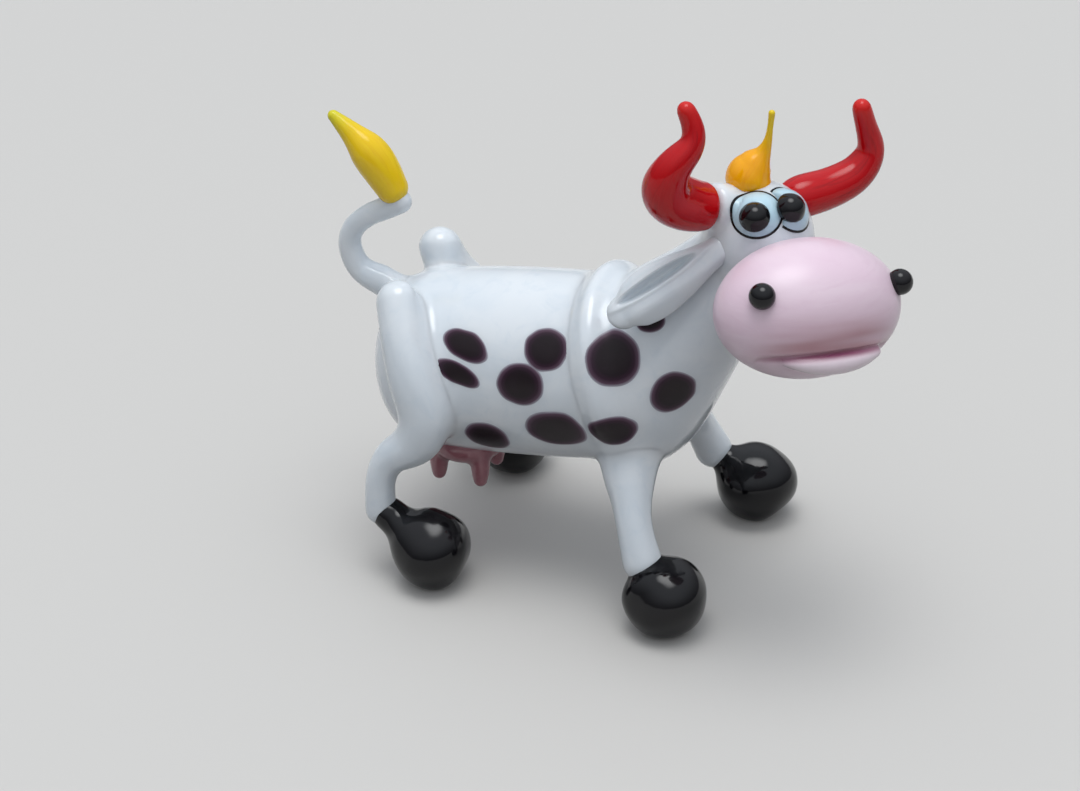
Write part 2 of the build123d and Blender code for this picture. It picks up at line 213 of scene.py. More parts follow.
def new_tree(name, sockets):
    tree = bpy.data.node_groups.new(name, "GeometryNodeTree")
    tree.interface.new_socket("Geometry", in_out="INPUT", socket_type="NodeSocketGeometry")
    for label, kind in sockets:
        tree.interface.new_socket(label, in_out="INPUT", socket_type="NodeSocket" + kind)
    tree.interface.new_socket("Geometry", in_out="OUTPUT", socket_type="NodeSocketGeometry")
    return tree, tree.nodes.new("NodeGroupInput").outputs


def named(tree, kind, name):
    """Values that a mesh keeps under a name."""
    return wire(tree, "GeometryNodeInputNamedAttribute", {"data_type": kind}, Name=name)


def ring_grid(tree, given):
    """Grid of rings and sides, with each point's share along it and its angle round it."""
    grid = add(tree, "GeometryNodeMeshGrid", Size_X=1.0, Size_Y=1.0, Vertices_X=given["Rings"],
               Vertices_Y=maths(tree, "ADD", given["Sides"], 1.0))
    spread = add(tree, "ShaderNodeSeparateXYZ", Vector=wire(tree, "GeometryNodeInputPosition"))
    along, around = (maths(tree, "ADD", spread.outputs[axis], 0.5) for axis in (0, 1))
    return grid.outputs, along, maths(tree, "MULTIPLY", around, 2 * math.pi)


def end_tree(tree, skin, glass, least_gap):
    """Merges double points, and smooths, realizes and colours what a tree has made."""
    skin = wire(tree, "GeometryNodeMergeByDistance", Geometry=skin, Distance=least_gap)
    skin = wire(tree, "GeometryNodeSetShadeSmooth", Geometry=skin)
    skin = wire(tree, "GeometryNodeRealizeInstances", Geometry=skin)
    skin = wire(tree, "GeometryNodeSetMaterial", Geometry=skin, Material=glass)
    tree.links.new(skin, tree.nodes.new("NodeGroupOutput").inputs[0])
    return tree


def grown(tree, carrier, inputs):
    """Runs a node tree on a carrier mesh and gives the plain mesh that it makes."""
    thing = placed("carrier", carrier)
    modifier = thing.modifiers.new("grow", "NODES")
    modifier.node_group = tree
    for item in tree.interface.items_tree:
        if item.in_out == "INPUT" and item.name in inputs:
            modifier[item.identifier] = inputs[item.name]
    return applied(thing)


# %% [markdown]
# ## The drawn rod
# Horns, tail, legs, tuft and forelock are all one movement: a soft rod is pulled along a line while it
# gets thinner. A curve with a bevel could do it, but its ends would be flat. This tree bends a grid
# round the line instead. Its rings crowd towards both ends, where the radius falls as on a ball, so each
# rod ends in the round drop that surface tension gives hot glass. The barrel is the same rule on a
# straight line, and the chest uses discs with a tilt of their own.

# %% Drawn rod tree
SPLINE_STEPS = 24
ROD_LEAST_GAP = 2e-6


def rod_tree():
    tree, given = new_tree("drawn_rod", [("Rings", "Int"), ("Sides", "Int"), ("Tilted Discs", "Bool"),
                                         ("Glass", "Material")])
    line = wire(tree, "GeometryNodeMeshToCurve", Mesh=given["Geometry"])
    line = wire(tree, "GeometryNodeCurveSplineType", {"spline_type": "CATMULL_ROM"}, Curve=line)
    line = wire(tree, "GeometryNodeSetSplineResolution", Geometry=line, Resolution=SPLINE_STEPS)
    length = wire(tree, "GeometryNodeCurveLength", Curve=line)
    grid, along, turn = ring_grid(tree, given)
    wave = maths(tree, "COSINE", maths(tree, "MULTIPLY", along, math.pi))
    share = maths(tree, "MULTIPLY_ADD", wave, -0.5, 0.5)

    def sampled(kind, name, factor):
        return add(tree, "GeometryNodeSampleCurve", {"mode": "FACTOR", "data_type": kind}, Curves=line,
                   Value=named(tree, kind, name), Factor=factor).outputs

    here = sampled("FLOAT", "rod_radius", share)
    tilt = sampled("FLOAT_VECTOR", "disc_across", share)
    reach = maths(tree, "MULTIPLY", share, length)
    size = here["Value"]
    for factor, gap in ((0.0, reach), (1.0, maths(tree, "SUBTRACT", length, reach))):
        end = sampled("FLOAT", "rod_drop", factor)["Value"]
        near = maths(tree, "DIVIDE", maths(tree, "MINIMUM", gap, end), end)
        drop = maths(tree, "MULTIPLY", near, maths(tree, "SUBTRACT", 2.0, near))
        size = maths(tree, "MULTIPLY", size, maths(tree, "SQRT", maths(tree, "MAXIMUM", drop, 0.0)))
    binormal = vectors(tree, "CROSS_PRODUCT", here["Tangent"], here["Normal"])
    ways = []
    for wave, rod_side, disc_side in (("COSINE", here["Normal"], tilt["Value"]),
                                      ("SINE", binormal, (0, 1, 0))):
        choice = add(tree, "GeometryNodeSwitch", {"input_type": "VECTOR"})
        side = filled(tree, choice, (given["Tilted Discs"], rod_side, disc_side))
        ways.append(scaled(tree, side, maths(tree, "MULTIPLY", size, maths(tree, wave, turn))))
    place = vectors(tree, "ADD", here["Position"], vectors(tree, "ADD", *ways))
    skin = wire(tree, "GeometryNodeStoreNamedAttribute", {"data_type": "FLOAT2", "domain": "CORNER"},
                Geometry=grid["Mesh"], Name="UVMap", Value=grid["UV Map"])
    skin = wire(tree, "GeometryNodeSetPosition", Geometry=skin, Position=place)
    return end_tree(tree, skin, given["Glass"], ROD_LEAST_GAP)


ROD_TREE = rod_tree()
print("drawn rod tree:", len(ROD_TREE.nodes), "nodes")

# %% [markdown]
# ## Laying a rod
# The tree wants a row of joined points with a radius at each. Its round ends are inside the row, so
# the row is made longer by the radius at an end that shows.

# %% Laying rods
def lay_rod(points, radii, ends=(1.0, 1.0), rings=90, sides=48, across=None, glass=None, drops=(None, None)):
    """Rod through millimetre points; ends are the shares of a radius by which the row is made longer, and
    drops are the lengths over which an end rounds off, its radius where none is given."""
    row = [Vector(p) for p in points]
    for place, inner, share in ((0, 1, ends[0]), (-1, -2, ends[1])):
        if share:
            row[place] = row[place] + (row[place] - row[inner]).normalized() * radii[place] * share
    carrier = raw_mesh([STAND @ p for p in row], [], [(k, k + 1) for k in range(len(row) - 1)])
    falls = [drops[0] or radii[0]] + [drops[1] or radii[-1]] * (len(row) - 1)
    store(carrier, "rod_radius", [r * MM for r in radii])
    store(carrier, "rod_drop", [f * MM for f in falls])
    if across:
        store(carrier, "disc_across", [c for v in across for c in v], "FLOAT_VECTOR")
    inputs = {"Rings": rings, "Sides": sides, "Tilted Discs": bool(across)}
    if glass:
        inputs["Glass"] = glass
    return outward(grown(ROD_TREE, carrier, inputs))


# %% [markdown]
# ## Eggs and places on them
# Head, muzzle and udder are round gathers. Each is a ball whose three half sizes differ, and beads are
# seated on it by two angles, as on a globe. The seat's own Z points straight out of the surface.

# %% Eggs
EGG_ROWS = 96


def egg(half_sizes, place, rows=EGG_ROWS):
    """Closed egg with twice as many columns as rows, under a millimetre placing."""
    points, faces = [], []
    columns = rows * 2
    for row in range(1, rows):
        lift = math.pi * row / rows
        for column in range(columns):
            turn = 2 * math.pi * column / columns
            unit = (math.sin(lift) * math.cos(turn), math.sin(lift) * math.sin(turn), math.cos(lift))
            points.append([u * h for u, h in zip(unit, half_sizes)])
    top, bottom = len(points), len(points) + 1
    points += [[0, 0, half_sizes[2]], [0, 0, -half_sizes[2]]]
    for column in range(columns):
        after = (column + 1) % columns
        faces.append((top, column, after))
        last = (rows - 2) * columns
        faces.append((bottom, last + after, last + column))
        for row in range(rows - 2):
            here = row * columns
            faces.append((here + column, here + columns + column, here + columns + after, here + after))
    return outward(raw_mesh([STAND @ place @ Vector(p) for p in points], faces))


def on_egg(half_sizes, turn, lift):
    """Placing whose origin is on the egg and whose Z points out of it."""
    flat = math.cos(math.radians(lift))
    unit = (flat * math.cos(math.radians(turn)), flat * math.sin(math.radians(turn)),
            math.sin(math.radians(lift)))
    out = Vector([u / h for u, h in zip(unit, half_sizes)])
    turn_out = out.to_track_quat("Z", "Y").to_matrix().to_4x4()
    return moved(*(u * h for u, h in zip(unit, half_sizes))) @ turn_out


# %% [markdown]
# ## Melting gathers together
# White glass laid on white glass flows into one skin with soft hollows at the seams. The raw forms are
# joined and remeshed as one volume. Then the skin is relaxed, a little everywhere and far more close to
# a seam, so that each seam fills as it does in the flame. A boolean with a bevel gives even fillets, but
# no bevel runs cleanly along seams like these. Afterwards every face goes back to the gather it came
# from, so that each piece keeps its own name, and the cut faces are closed inside the body.

# %% Melt and part
FAR_GAP, SEAM_MARGIN, SEAM_POWER, LAST_PASSES = 99.0, 3.0, 0.7, 3
LABEL_ROUNDS, OWN_VOTE = 12, 1.5


def joined(meshes):
    points, faces, start = [], [], 0
    for mesh in meshes:
        co, triangles = mesh_arrays(mesh)
        points.append(co)
        faces.append(triangles + start)
        start += len(co)
    return raw_mesh(np.concatenate(points).tolist(), np.concatenate(faces).tolist())


def remeshed(mesh, voxel):
    thing = placed("volume", mesh)
    modifier = thing.modifiers.new("volume", "REMESH")
    modifier.mode = "VOXEL"
    modifier.voxel_size = voxel * MM
    return applied(thing)


def relaxed(points, edges, weights, passes):
    """Moves each point towards the middle of its neighbours, by its weight, again and again."""
    count = len(points)
    ends = np.concatenate([edges[:, 0], edges[:, 1]])
    others = np.concatenate([edges[:, 1], edges[:, 0]])
    share = np.bincount(ends, minlength=count).clip(1)
    for _ in range(passes):
        middle = np.stack([np.bincount(ends, points[others, k], count) / share for k in range(3)], 1)
        points = points + (middle - points) * weights[:, None]
    return points


def eased(mesh, passes):
    """Relaxes a mesh in place, which softens edges and opens the pinch that a tight bend leaves."""
    points, edges = numbers(mesh.vertices, "co", 3), numbers(mesh.edges, "vertices", 2, np.int64)
    points = relaxed(points, edges, np.full(len(points), 0.5), passes)
    mesh.vertices.foreach_set("co", points.ravel())
    mesh.update()
    return mesh


def melted(raws, voxel, passes, seams, seam_passes):
    """Melts raw meshes to one skin. Seams are rows of two names and the reach in mm over which the two
    flow together. Gives the mesh and, per point, the gap to every raw mesh in mm."""
    skin = remeshed(joined(raws.values()), voxel)
    points, edges = numbers(skin.vertices, "co", 3), numbers(skin.edges, "vertices", 2, np.int64)
    gaps = np.full((len(raws), len(points)), FAR_GAP)
    margin = SEAM_MARGIN * MM
    for row, raw in enumerate(raws.values()):
        co, triangles = mesh_arrays(raw)
        finder = BVHTree.FromPolygons(co.tolist(), triangles.tolist())
        close = np.all((points > co.min(0) - margin) & (points < co.max(0) + margin), 1)
        for index in np.nonzero(close)[0]:
            found = finder.find_nearest(points[index], margin)
            if found[3] is not None:
                gaps[row, index] = found[3] / MM
    evenly = np.full(len(points), 0.5)
    points = relaxed(points, edges, evenly, passes)
    rows = {name: gaps[row] for row, name in enumerate(raws)}
    weights = np.zeros(len(points))
    for one, two, reach in seams:
        closeness = np.clip(1 - np.maximum(rows[one], rows[two]) / reach, 0, 1)
        weights = np.maximum(weights, closeness ** SEAM_POWER)
    points = relaxed(points, edges, 0.5 * weights, seam_passes)
    points = relaxed(points, edges, evenly, LAST_PASSES)
    skin.vertices.foreach_set("co", points.ravel())
    skin.update()
    return smoothed(skin), gaps


def face_labels(skin, gaps):
    """Gather that each face belongs to, with small islands given to their neighbours."""
    faces = np.array([tuple(f.vertices) for f in skin.polygons])
    labels = gaps[:, faces].sum(2).argmin(0)
    pairs = {}
    for index, face in enumerate(faces):
        for a, b in zip(face, np.roll(face, -1)):
            pairs.setdefault((min(a, b), max(a, b)), []).append(index)
    near = np.array([pair for pair in pairs.values() if len(pair) == 2])
    for _ in range(LABEL_ROUNDS):
        votes = np.zeros((len(gaps), len(faces)))
        for one, two in ((0, 1), (1, 0)):
            np.add.at(votes, (labels[near[:, one]], near[:, two]), 1)
        votes[labels, np.arange(len(faces))] += OWN_VOTE
        labels = votes.argmax(0)
    return faces, labels


def parted(skin, faces, labels, which, inside=None):
    """Closed piece of the skin: its faces, and fans that close each cut loop. A fan meets at the loop's
    middle, or a third of the way from there to a point inside."""
    points, normals = numbers(skin.vertices, "co", 3), numbers(skin.vertices, "normal", 3)
    own = faces[labels == which]
    runs = {(a, b) for face in own for a, b in zip(face, np.roll(face, -1))}
    rim = [(a, b) for a, b in runs if (b, a) not in runs]
    group = {}

    def root(v):
        while group.setdefault(v, v) != v:
            v = group[v]
        return v

    for a, b in rim:
        group[root(a)] = root(b)
    loops = {}
    for a, b in sorted(rim):
        loops.setdefault(root(a), []).append((a, b))
    used, compact = np.unique(own, return_inverse=True)
    index = {v: k for k, v in enumerate(used)}
    coords = points[used].tolist()
    outs = normals[used].tolist()
    polygons = compact.reshape(own.shape).tolist()
    for _, loop in sorted(loops.items()):
        middle = points[[a for a, _ in loop]].mean(0)
        if inside is not None:
            middle += (np.array(inside) - middle) / 3
        coords.append(middle.tolist())
        outs.append((0, 0, 1))
        polygons += [(index[b], index[a], len(coords) - 1) for a, b in loop]
    mesh = smoothed(raw_mesh(coords, polygons))
    mesh.normals_split_custom_set_from_vertices(outs)
    return mesh


# %% [markdown]
# ## Handing a piece over
# Every finished piece stands for one CAD node: it rides on the only body, hides that node and takes the
# glass that it is made of.

# %% Hand-over
COUNTS = {}


def hand_over(mesh, node, glass):
    name = node + "_glass"
    mesh.materials.clear()
    mesh.materials.append(glass)
    mesh.name = name
    piece = placed(name, mesh)
    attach(piece, BODY)
    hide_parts(node)
    COUNTS[node] = len(mesh.polygons)


# %% [markdown]
# ## What torch glass looks like
# Opaque glass is never one flat colour. Pulled rods carry faint streaks along their length, the flame
# leaves clouds where the glass was reheated, and the fire-polished skin has slow ripples. One shader
# group gives all three as a colour, a roughness and a height, and each finish sets its own amounts.

# %% Shared shader group
def torch_group():
    group = bpy.data.node_groups.new("torch_glass", "ShaderNodeTree")
    face = group.interface
    for label, kind in (("Vector", "Vector"), ("Base", "Color"), ("Cloud", "Color"), ("Streak", "Color"),
                        ("Cloud Scale", "Float"), ("Cloud Amount", "Float"), ("Streak Scale", "Float"),
                        ("Streak Amount", "Float"), ("Ripple Scale", "Float"), ("Polish", "Float")):
        face.new_socket(label, in_out="INPUT", socket_type="NodeSocket" + kind)
    for label, kind in (("Colour", "Color"), ("Roughness", "Float"), ("Height", "Float")):
        face.new_socket(label, in_out="OUTPUT", socket_type="NodeSocket" + kind)
    given = group.nodes.new("NodeGroupInput").outputs
    out = group.nodes.new("NodeGroupOutput").inputs

    def noise_of(label, **fills):
        scale = given[label + " Scale"]
        return wire(group, "ShaderNodeTexNoise", Vector=given["Vector"], Scale=scale, **fills)

    cloud = soft_step(group, noise_of("Cloud", Detail=4.0, Roughness=0.55, Distortion=0.6), 0.38, 0.68)
    streak = soft_step(group, noise_of("Streak", Detail=3.0, Roughness=0.6, Distortion=1.4), 0.5, 0.72)
    colour = given["Base"]
    for label, share in (("Cloud", cloud), ("Streak", streak)):
        share = maths(group, "MULTIPLY", given[label + " Amount"], share)
        colour = mixed(group, share, colour, given[label])
    group.links.new(colour, out["Colour"])
    group.links.new(maths(group, "MULTIPLY_ADD", cloud, 0.05, given["Polish"]), out["Roughness"])
    group.links.new(noise_of("Ripple", Detail=2.0, Roughness=0.4), out["Height"])
    return group


TORCH = torch_group()
print("shared group outputs:", [item.name for item in TORCH.interface.items_tree if item.in_out == "OUTPUT"])

# %% Finish maker
GLASS_IOR, COAT_ROUGHNESS, RIPPLE_HEIGHT = 1.52, 0.03, 0.0004


def principled(made):
    """Node tree of a material, and its shader."""
    made.use_nodes = True
    return made.node_tree, next(n for n in made.node_tree.nodes if n.type == "BSDF_PRINCIPLED")


def glass(name, base, cloud, streak, cloud_amount=0.5, streak_amount=0.3, polish=0.06, ripple=0.04,
          cloud_scale=180.0, streak_scale=420.0, ripple_scale=260.0, subsurface=0.25, depth=0.0012,
          stretch=(1.0, 1.0, 1.0), uses_uv=False, coat=0.2, shine=0.5, tip=None, tip_span=(0.5, 0.8)):
    """Opaque torch glass. Colours are linear; scales are per metre, or per unit of a rod's own UV. A rod
    may turn to a tip colour over a span of its length."""
    made = bpy.data.materials.new(name)
    tree, shader = principled(made)
    where = tree.nodes.new("ShaderNodeTexCoord").outputs["UV" if uses_uv else "Object"]
    effect = add(tree, "ShaderNodeGroup", {"node_tree": TORCH})
    fill(tree, effect.inputs["Vector"], wire(tree, "ShaderNodeMapping", Vector=where, Scale=stretch))
    for label, value in (("Base", (*base, 1)), ("Cloud", (*cloud, 1)), ("Streak", (*streak, 1)),
                         ("Cloud Scale", cloud_scale), ("Cloud Amount", cloud_amount),
                         ("Streak Scale", streak_scale), ("Streak Amount", streak_amount),
                         ("Ripple Scale", ripple_scale), ("Polish", polish)):
        effect.inputs[label].default_value = value
    colour = effect.outputs["Colour"]
    if tip:
        along = wire(tree, "ShaderNodeSeparateXYZ", Vector=where)
        colour = mixed(tree, soft_step(tree, along, *tip_span), colour, (*tip, 1))
    bump = wire(tree, "ShaderNodeBump", Strength=ripple, Distance=RIPPLE_HEIGHT,
                Height=effect.outputs["Height"])
    for label, value in (("Base Color", colour), ("Roughness", effect.outputs["Roughness"]), ("Normal", bump),
                         ("IOR", GLASS_IOR), ("Specular IOR Level", shine), ("Coat Weight", coat),
                         ("Coat Roughness", COAT_ROUGHNESS), ("Subsurface Weight", subsurface),
                         ("Subsurface Radius", (1.0, 1.0, 1.0)), ("Subsurface Scale", depth)):
        fill(tree, shader.inputs[label], value)
    return made


def by_attribute(made, attribute, colour_of):
    """Lays a colour over a finish. An attribute of the piece gives the share, and its socket, the node tree
    and the colour so far are handed to a maker of the new colour."""
    tree, shader = principled(made)
    where = add(tree, "ShaderNodeAttribute", {"attribute_name": attribute}).outputs["Fac"]
    before = shader.inputs["Base Color"].links[0].from_socket
    tree.links.new(colour_of(tree, where, before), shader.inputs["Base Color"])


def tinted(made, attribute, colour):
    by_attribute(made, attribute, lambda tree, where, before: mixed(tree, where, before, colour))


# %% Finishes
ROD = {"uses_uv": True, "stretch": (2.0, 8.0, 1.0), "cloud_scale": 1.4, "streak_scale": 2.0,
       "ripple_scale": 3.0}
WHITE = glass("opal_white", (0.66, 0.71, 0.75), (0.74, 0.77, 0.79), (0.58, 0.65, 0.71), 0.6, 0.35,
              polish=0.1, subsurface=0.35, depth=0.0016)
PINK = glass("pale_pink", (0.74, 0.57, 0.66), (0.80, 0.66, 0.73), (0.68, 0.49, 0.59), 0.6, 0.3, polish=0.28,
             subsurface=0.12, stretch=(0.6, 0.6, 2.4), coat=0.05, shine=0.4)
LIP = glass("milky_pink", (0.80, 0.68, 0.74), (0.84, 0.75, 0.79), (0.72, 0.56, 0.64), 0.6, 0.3, polish=0.24,
            subsurface=0.0, stretch=(0.6, 0.6, 2.4), coat=0.05, shine=0.45)
ROSE = glass("dusky_rose", (0.34, 0.13, 0.16), (0.42, 0.19, 0.21), (0.27, 0.09, 0.12), 0.6, 0.4)
RED = glass("cherry_red", (0.47, 0.002, 0.006), (0.56, 0.007, 0.009), (0.28, 0.001, 0.004), 0.5, 0.6,
            subsurface=0.0, coat=0.0, shine=0.3, tip=(0.62, 0.015, 0.012), tip_span=(0.7, 0.95), **ROD)
YELLOW = glass("lemon_yellow", (0.84, 0.56, 0.006), (0.86, 0.64, 0.015), (0.74, 0.42, 0.004), 0.5, 0.4,
               subsurface=0.1, coat=0.0, shine=0.35, tip=(0.66, 0.60, 0.02), tip_span=(0.6, 0.9), **ROD)
ORANGE = glass("egg_orange", (0.90, 0.39, 0.003), (0.92, 0.46, 0.006), (0.84, 0.31, 0.002), 0.5, 0.4,
               subsurface=0.1, coat=0.0, shine=0.35, tip=(0.78, 0.56, 0.012), tip_span=(0.45, 0.75), **ROD)
BLACK = glass("jet_black", (0.003, 0.003, 0.004), (0.006, 0.005, 0.006), (0.010, 0.007, 0.010), 0.6, 0.3,
              polish=0.10, subsurface=0.0, ripple=0.1, coat=0.0, shine=0.35)
EYE = glass("eye_blue", (0.46, 0.66, 0.76), (0.55, 0.72, 0.80), (0.40, 0.60, 0.72), 0.5, 0.3)
tinted(LIP, "seam", (0.74, 0.57, 0.66, 1))
for made in (PINK, LIP):
    # Brownish streaks over the mouth, with painted shade under the muzzle's bulge.
    tinted(made, "streaks_and_shade", (0.42, 0.18, 0.20, 1))
    # Painted shade in the mouth's pressed groove, in dark magenta.
    tinted(made, "mouth", (0.24, 0.05, 0.12, 1))
FINISHES = (WHITE, PINK, LIP, ROSE, RED, YELLOW, ORANGE, BLACK, EYE)
print("finishes:", [made.name for made in FINISHES])

# %% [markdown]
# ## The white gathers
# Barrel, chest, head, ears, legs and tail are one opal white. Each is laid as its own raw form from the
# CAD model's sizes: rods for the legs and the tail, a swelling rod with a round rump for the barrel,
# tilted discs for the chest and neck, and an egg for the head, which looks back to the cow's right.

# %% Barrel, chest and head
TRUNK_RADIUS, TRUNK_LENGTH, TRUNK_HEIGHT, TRUNK_RISE, TRUNK_SWELL = 7.15, 22.5, 14.4, 7.5, 0.35
RUMP_FORWARD, RUMP_DEPTH = 0.9, 4.8
TRUNK_FRONT, TRUNK_FRONT_SHARE = 2.0, 0.42
BODY_RINGS, BODY_SIDES = 140, 128
TRUNK_PLACE = moved(RUMP_FORWARD, 0, TRUNK_HEIGHT) @ turned(-TRUNK_RISE, "Y")
CHEST_ROWS = ((12.5, 0.0, 6.0, 17.0), (18.2, 0.0, 6.3, 17.0), (21.4, 0.3, 8.2, 17.0), (23.9, None, 7.2, 26.0),
              (26.0, None, 5.7, 41.0), (29.0, None, 4.2, 52.0), (31.8, None, 3.15, 52.0))
CHEST_HEIGHTS = {23.9: 18.3, 26.0: 21.6, 29.0: 26.0, 31.8: 30.2}
HEAD_PLACE = moved(31.8, 0, 30.2) @ turned(-46.0, "Z") @ turned(-6.0, "X")
HEAD_SIZES = (4.2, 4.2, 4.55)
HORN_STUB = ((-0.6, -1.6, 2.3), (-0.55, -3.2, 2.7), (-0.45, -4.5, 2.9))
HORN_STUB_RADII, HORN_STUB_DROPS = (1.7, 1.8, 1.75), (0.8, 0.5)


def trunk_line(forward):
    return TRUNK_HEIGHT + (forward - RUMP_FORWARD) * math.tan(math.radians(TRUNK_RISE))


def raw_trunk():
    middle = (RUMP_DEPTH + TRUNK_LENGTH) / 2
    half = TRUNK_LENGTH - middle
    row = [(RUMP_DEPTH * share, TRUNK_RADIUS) for share in (0.0, 0.5, 1.0)]
    for share in (-0.5, 0.0, 0.5, 0.85):
        row.append((middle + half * share, TRUNK_RADIUS + TRUNK_SWELL * (1 - share * share)))
    row.append((TRUNK_LENGTH + TRUNK_FRONT, TRUNK_RADIUS * TRUNK_FRONT_SHARE))
    points = [TRUNK_PLACE @ Vector((along, 0, 0)) for along, _ in row]
    radii = [radius for _, radius in row]
    return lay_rod(points, radii, (0, 0), BODY_RINGS, BODY_SIDES, drops=(RUMP_DEPTH, None))


def raw_chest():
    points, radii, across = [], [], []
    for forward, lift, radius, tilt in CHEST_ROWS:
        height = CHEST_HEIGHTS[forward] if lift is None else trunk_line(forward) + lift
        points.append((forward, 0, height))
        radii.append(radius)
        across.append((-math.sin(math.radians(tilt)), 0, math.cos(math.radians(tilt))))
    return lay_rod(points, radii, (0, 0), BODY_RINGS, BODY_SIDES, across=across)


def raw_head():
    """Egg with the white stub that the near horn is set on."""
    points = [HEAD_PLACE @ Vector(point) for point in HORN_STUB]
    stub = lay_rod(points, HORN_STUB_RADII, (0, 0), drops=HORN_STUB_DROPS)
    return joined([egg(HEAD_SIZES, HEAD_PLACE), stub])


raws = {"trunk": raw_trunk(), "chest": raw_chest(), "head": raw_head()}
print("raw volumes, mm3:", {name: round(volume(mesh) / MM ** 3) for name, mesh in raws.items()})

# %% [markdown]
# ## Ears
# An ear starts as a bead that is pulled out and squeezed flat, and then a thin tool is pressed along it,
# nearer to its upper edge. Rings of ovals give the leaf, and the points of its outer face are pushed down
# inside a long narrow oval and up along its edge, as the tool does. Remeshing would wash that slot out,
# so the leaves keep their own points and stand in the head with their roots.

# %% Ears
EAR_LENGTH, EAR_HALF_WIDTH, EAR_HALF_THICKNESS = 9.6, 2.05, 0.95
EAR_ROWS = ((-0.12, 0.5), (0.1, 0.62), (0.32, 0.86), (0.56, 1.0), (0.75, 0.9), (0.87, 0.62))
EAR_TURN, EAR_LIFTS = 79.0, {"right": -5.0, "left": -16.0}
EAR_FACE, EAR_AIM = (0.73, 0.6, 0.31), (-0.3, 0.68, -0.67)
EAR_RINGS, EAR_SIDES, EAR_ROOT_ROUND, EAR_EASE = 150, 160, 16, 3
EAR_PRESS, EAR_PRESS_POWER, EAR_PRESS_EDGE = 1.15, 3, 0.4
EAR_LIP, EAR_LIP_PLACE, EAR_LIP_WIDTH = 0.12, 1.2, 0.2
EAR_ROLL, EAR_ROLL_PLACE, EAR_ROLL_WIDTH = 0.3, 0.42, 0.3
EAR_SLOT_LENGTH, EAR_SLOT_WIDTH, EAR_SLOT_MIDDLE, EAR_SLOT_SHIFT = 3.6, 0.5, 0.49, 0.72


def on_side(point, side):
    return Vector((point[0], side * point[1], point[2]))


def leaf_size(share):
    places, sizes = zip(*EAR_ROWS)
    if share <= places[-1]:
        spots = np.array(places)
        span = min(max(int(np.searchsorted(spots, share)) - 1, 0), len(spots) - 2)
        part = (share - spots[span]) / (spots[span + 1] - spots[span])
        before, after = sizes[max(span - 1, 0)], sizes[min(span + 2, len(sizes) - 1)]
        rise, fall = (sizes[span + 1] - before) / 2, (after - sizes[span]) / 2
        return (sizes[span] * (2 * part ** 3 - 3 * part ** 2 + 1) + rise * (part ** 3 - 2 * part ** 2 + part)
                + sizes[span + 1] * (3 * part ** 2 - 2 * part ** 3) + fall * (part ** 3 - part ** 2))
    reach = (share - places[-1]) / (1.0 - places[-1])
    return sizes[-1] * math.sqrt(max(1 - reach * reach, 0.0))


def pressed(along, wide, high, lift, size, side):
    """Height of a point of the outer face after the tool: a rolled edge, the slot and the slot's lip."""
    oval = math.hypot((along - EAR_LENGTH * EAR_SLOT_MIDDLE) / EAR_SLOT_LENGTH,
                      (wide - side * EAR_SLOT_SHIFT) / EAR_SLOT_WIDTH)
    roll = -side * wide / EAR_HALF_WIDTH
    high += EAR_ROLL * math.exp(-((roll - EAR_ROLL_PLACE) / EAR_ROLL_WIDTH) ** 2) * lift * size
    high -= EAR_PRESS * max(1 - oval ** EAR_PRESS_POWER, 0.0) * min(high / EAR_PRESS_EDGE, 1.0)
    return high + EAR_LIP * math.exp(-((oval - EAR_LIP_PLACE) / EAR_LIP_WIDTH) ** 2)


def raw_ear(name):
    side = SIDES[name]
    root = on_egg(HEAD_SIZES, side * EAR_TURN, EAR_LIFTS[name]).translation
    face, aim = on_side(EAR_FACE, side).normalized(), on_side(EAR_AIM, side)
    aim = (aim - face * aim.dot(face)).normalized()
    turn = Matrix((aim, face.cross(aim), face)).transposed().to_4x4()
    place = STAND @ HEAD_PLACE @ Matrix.Translation(root) @ turn
    points, faces = [], []
    for ring in range(EAR_RINGS + 1):
        wave = (1 - math.cos(math.pi * ring / EAR_RINGS)) / 2
        share = EAR_ROWS[0][0] + (1.0 - EAR_ROWS[0][0]) * wave
        size = leaf_size(share) * math.sqrt(max(1 - max(1 - wave * EAR_ROOT_ROUND, 0.0) ** 2, 1e-4))
        for step in range(EAR_SIDES):
            angle = 2 * math.pi * step / EAR_SIDES
            along, wide = EAR_LENGTH * share, EAR_HALF_WIDTH * size * math.cos(angle)
            high = EAR_HALF_THICKNESS * math.sqrt(size) * math.sin(angle)
            if high > 0:
                high = pressed(along, wide, high, math.sin(angle), size, side)
            points.append(place @ Vector((along, wide, high)))
    for ring in range(EAR_RINGS):
        here, there = ring * EAR_SIDES, (ring + 1) * EAR_SIDES
        for step in range(EAR_SIDES):
            after = (step + 1) % EAR_SIDES
            faces.append((here + step, here + after, there + after, there + step))
    last = EAR_RINGS * EAR_SIDES
    faces += [tuple(range(EAR_SIDES)), tuple(range(last + EAR_SIDES - 1, last - 1, -1))]
    return eased(outward(smoothed(raw_mesh(points, faces))), EAR_EASE)


for name in SIDES:
    hand_over(raw_ear(name), name + "_ear", WHITE)
print("ear faces:", COUNTS["right_ear"], COUNTS["left_ear"])

# %% [markdown]
# ## Legs and tail
# A front leg is thick where it leaves the chest, thin above the ankle and swells again at its end. A
# hind leg is one rod from the knob on the hip over thigh and hock to the ankle. The tail is a thin rod
# that starts thick in the rump and swings back and up.

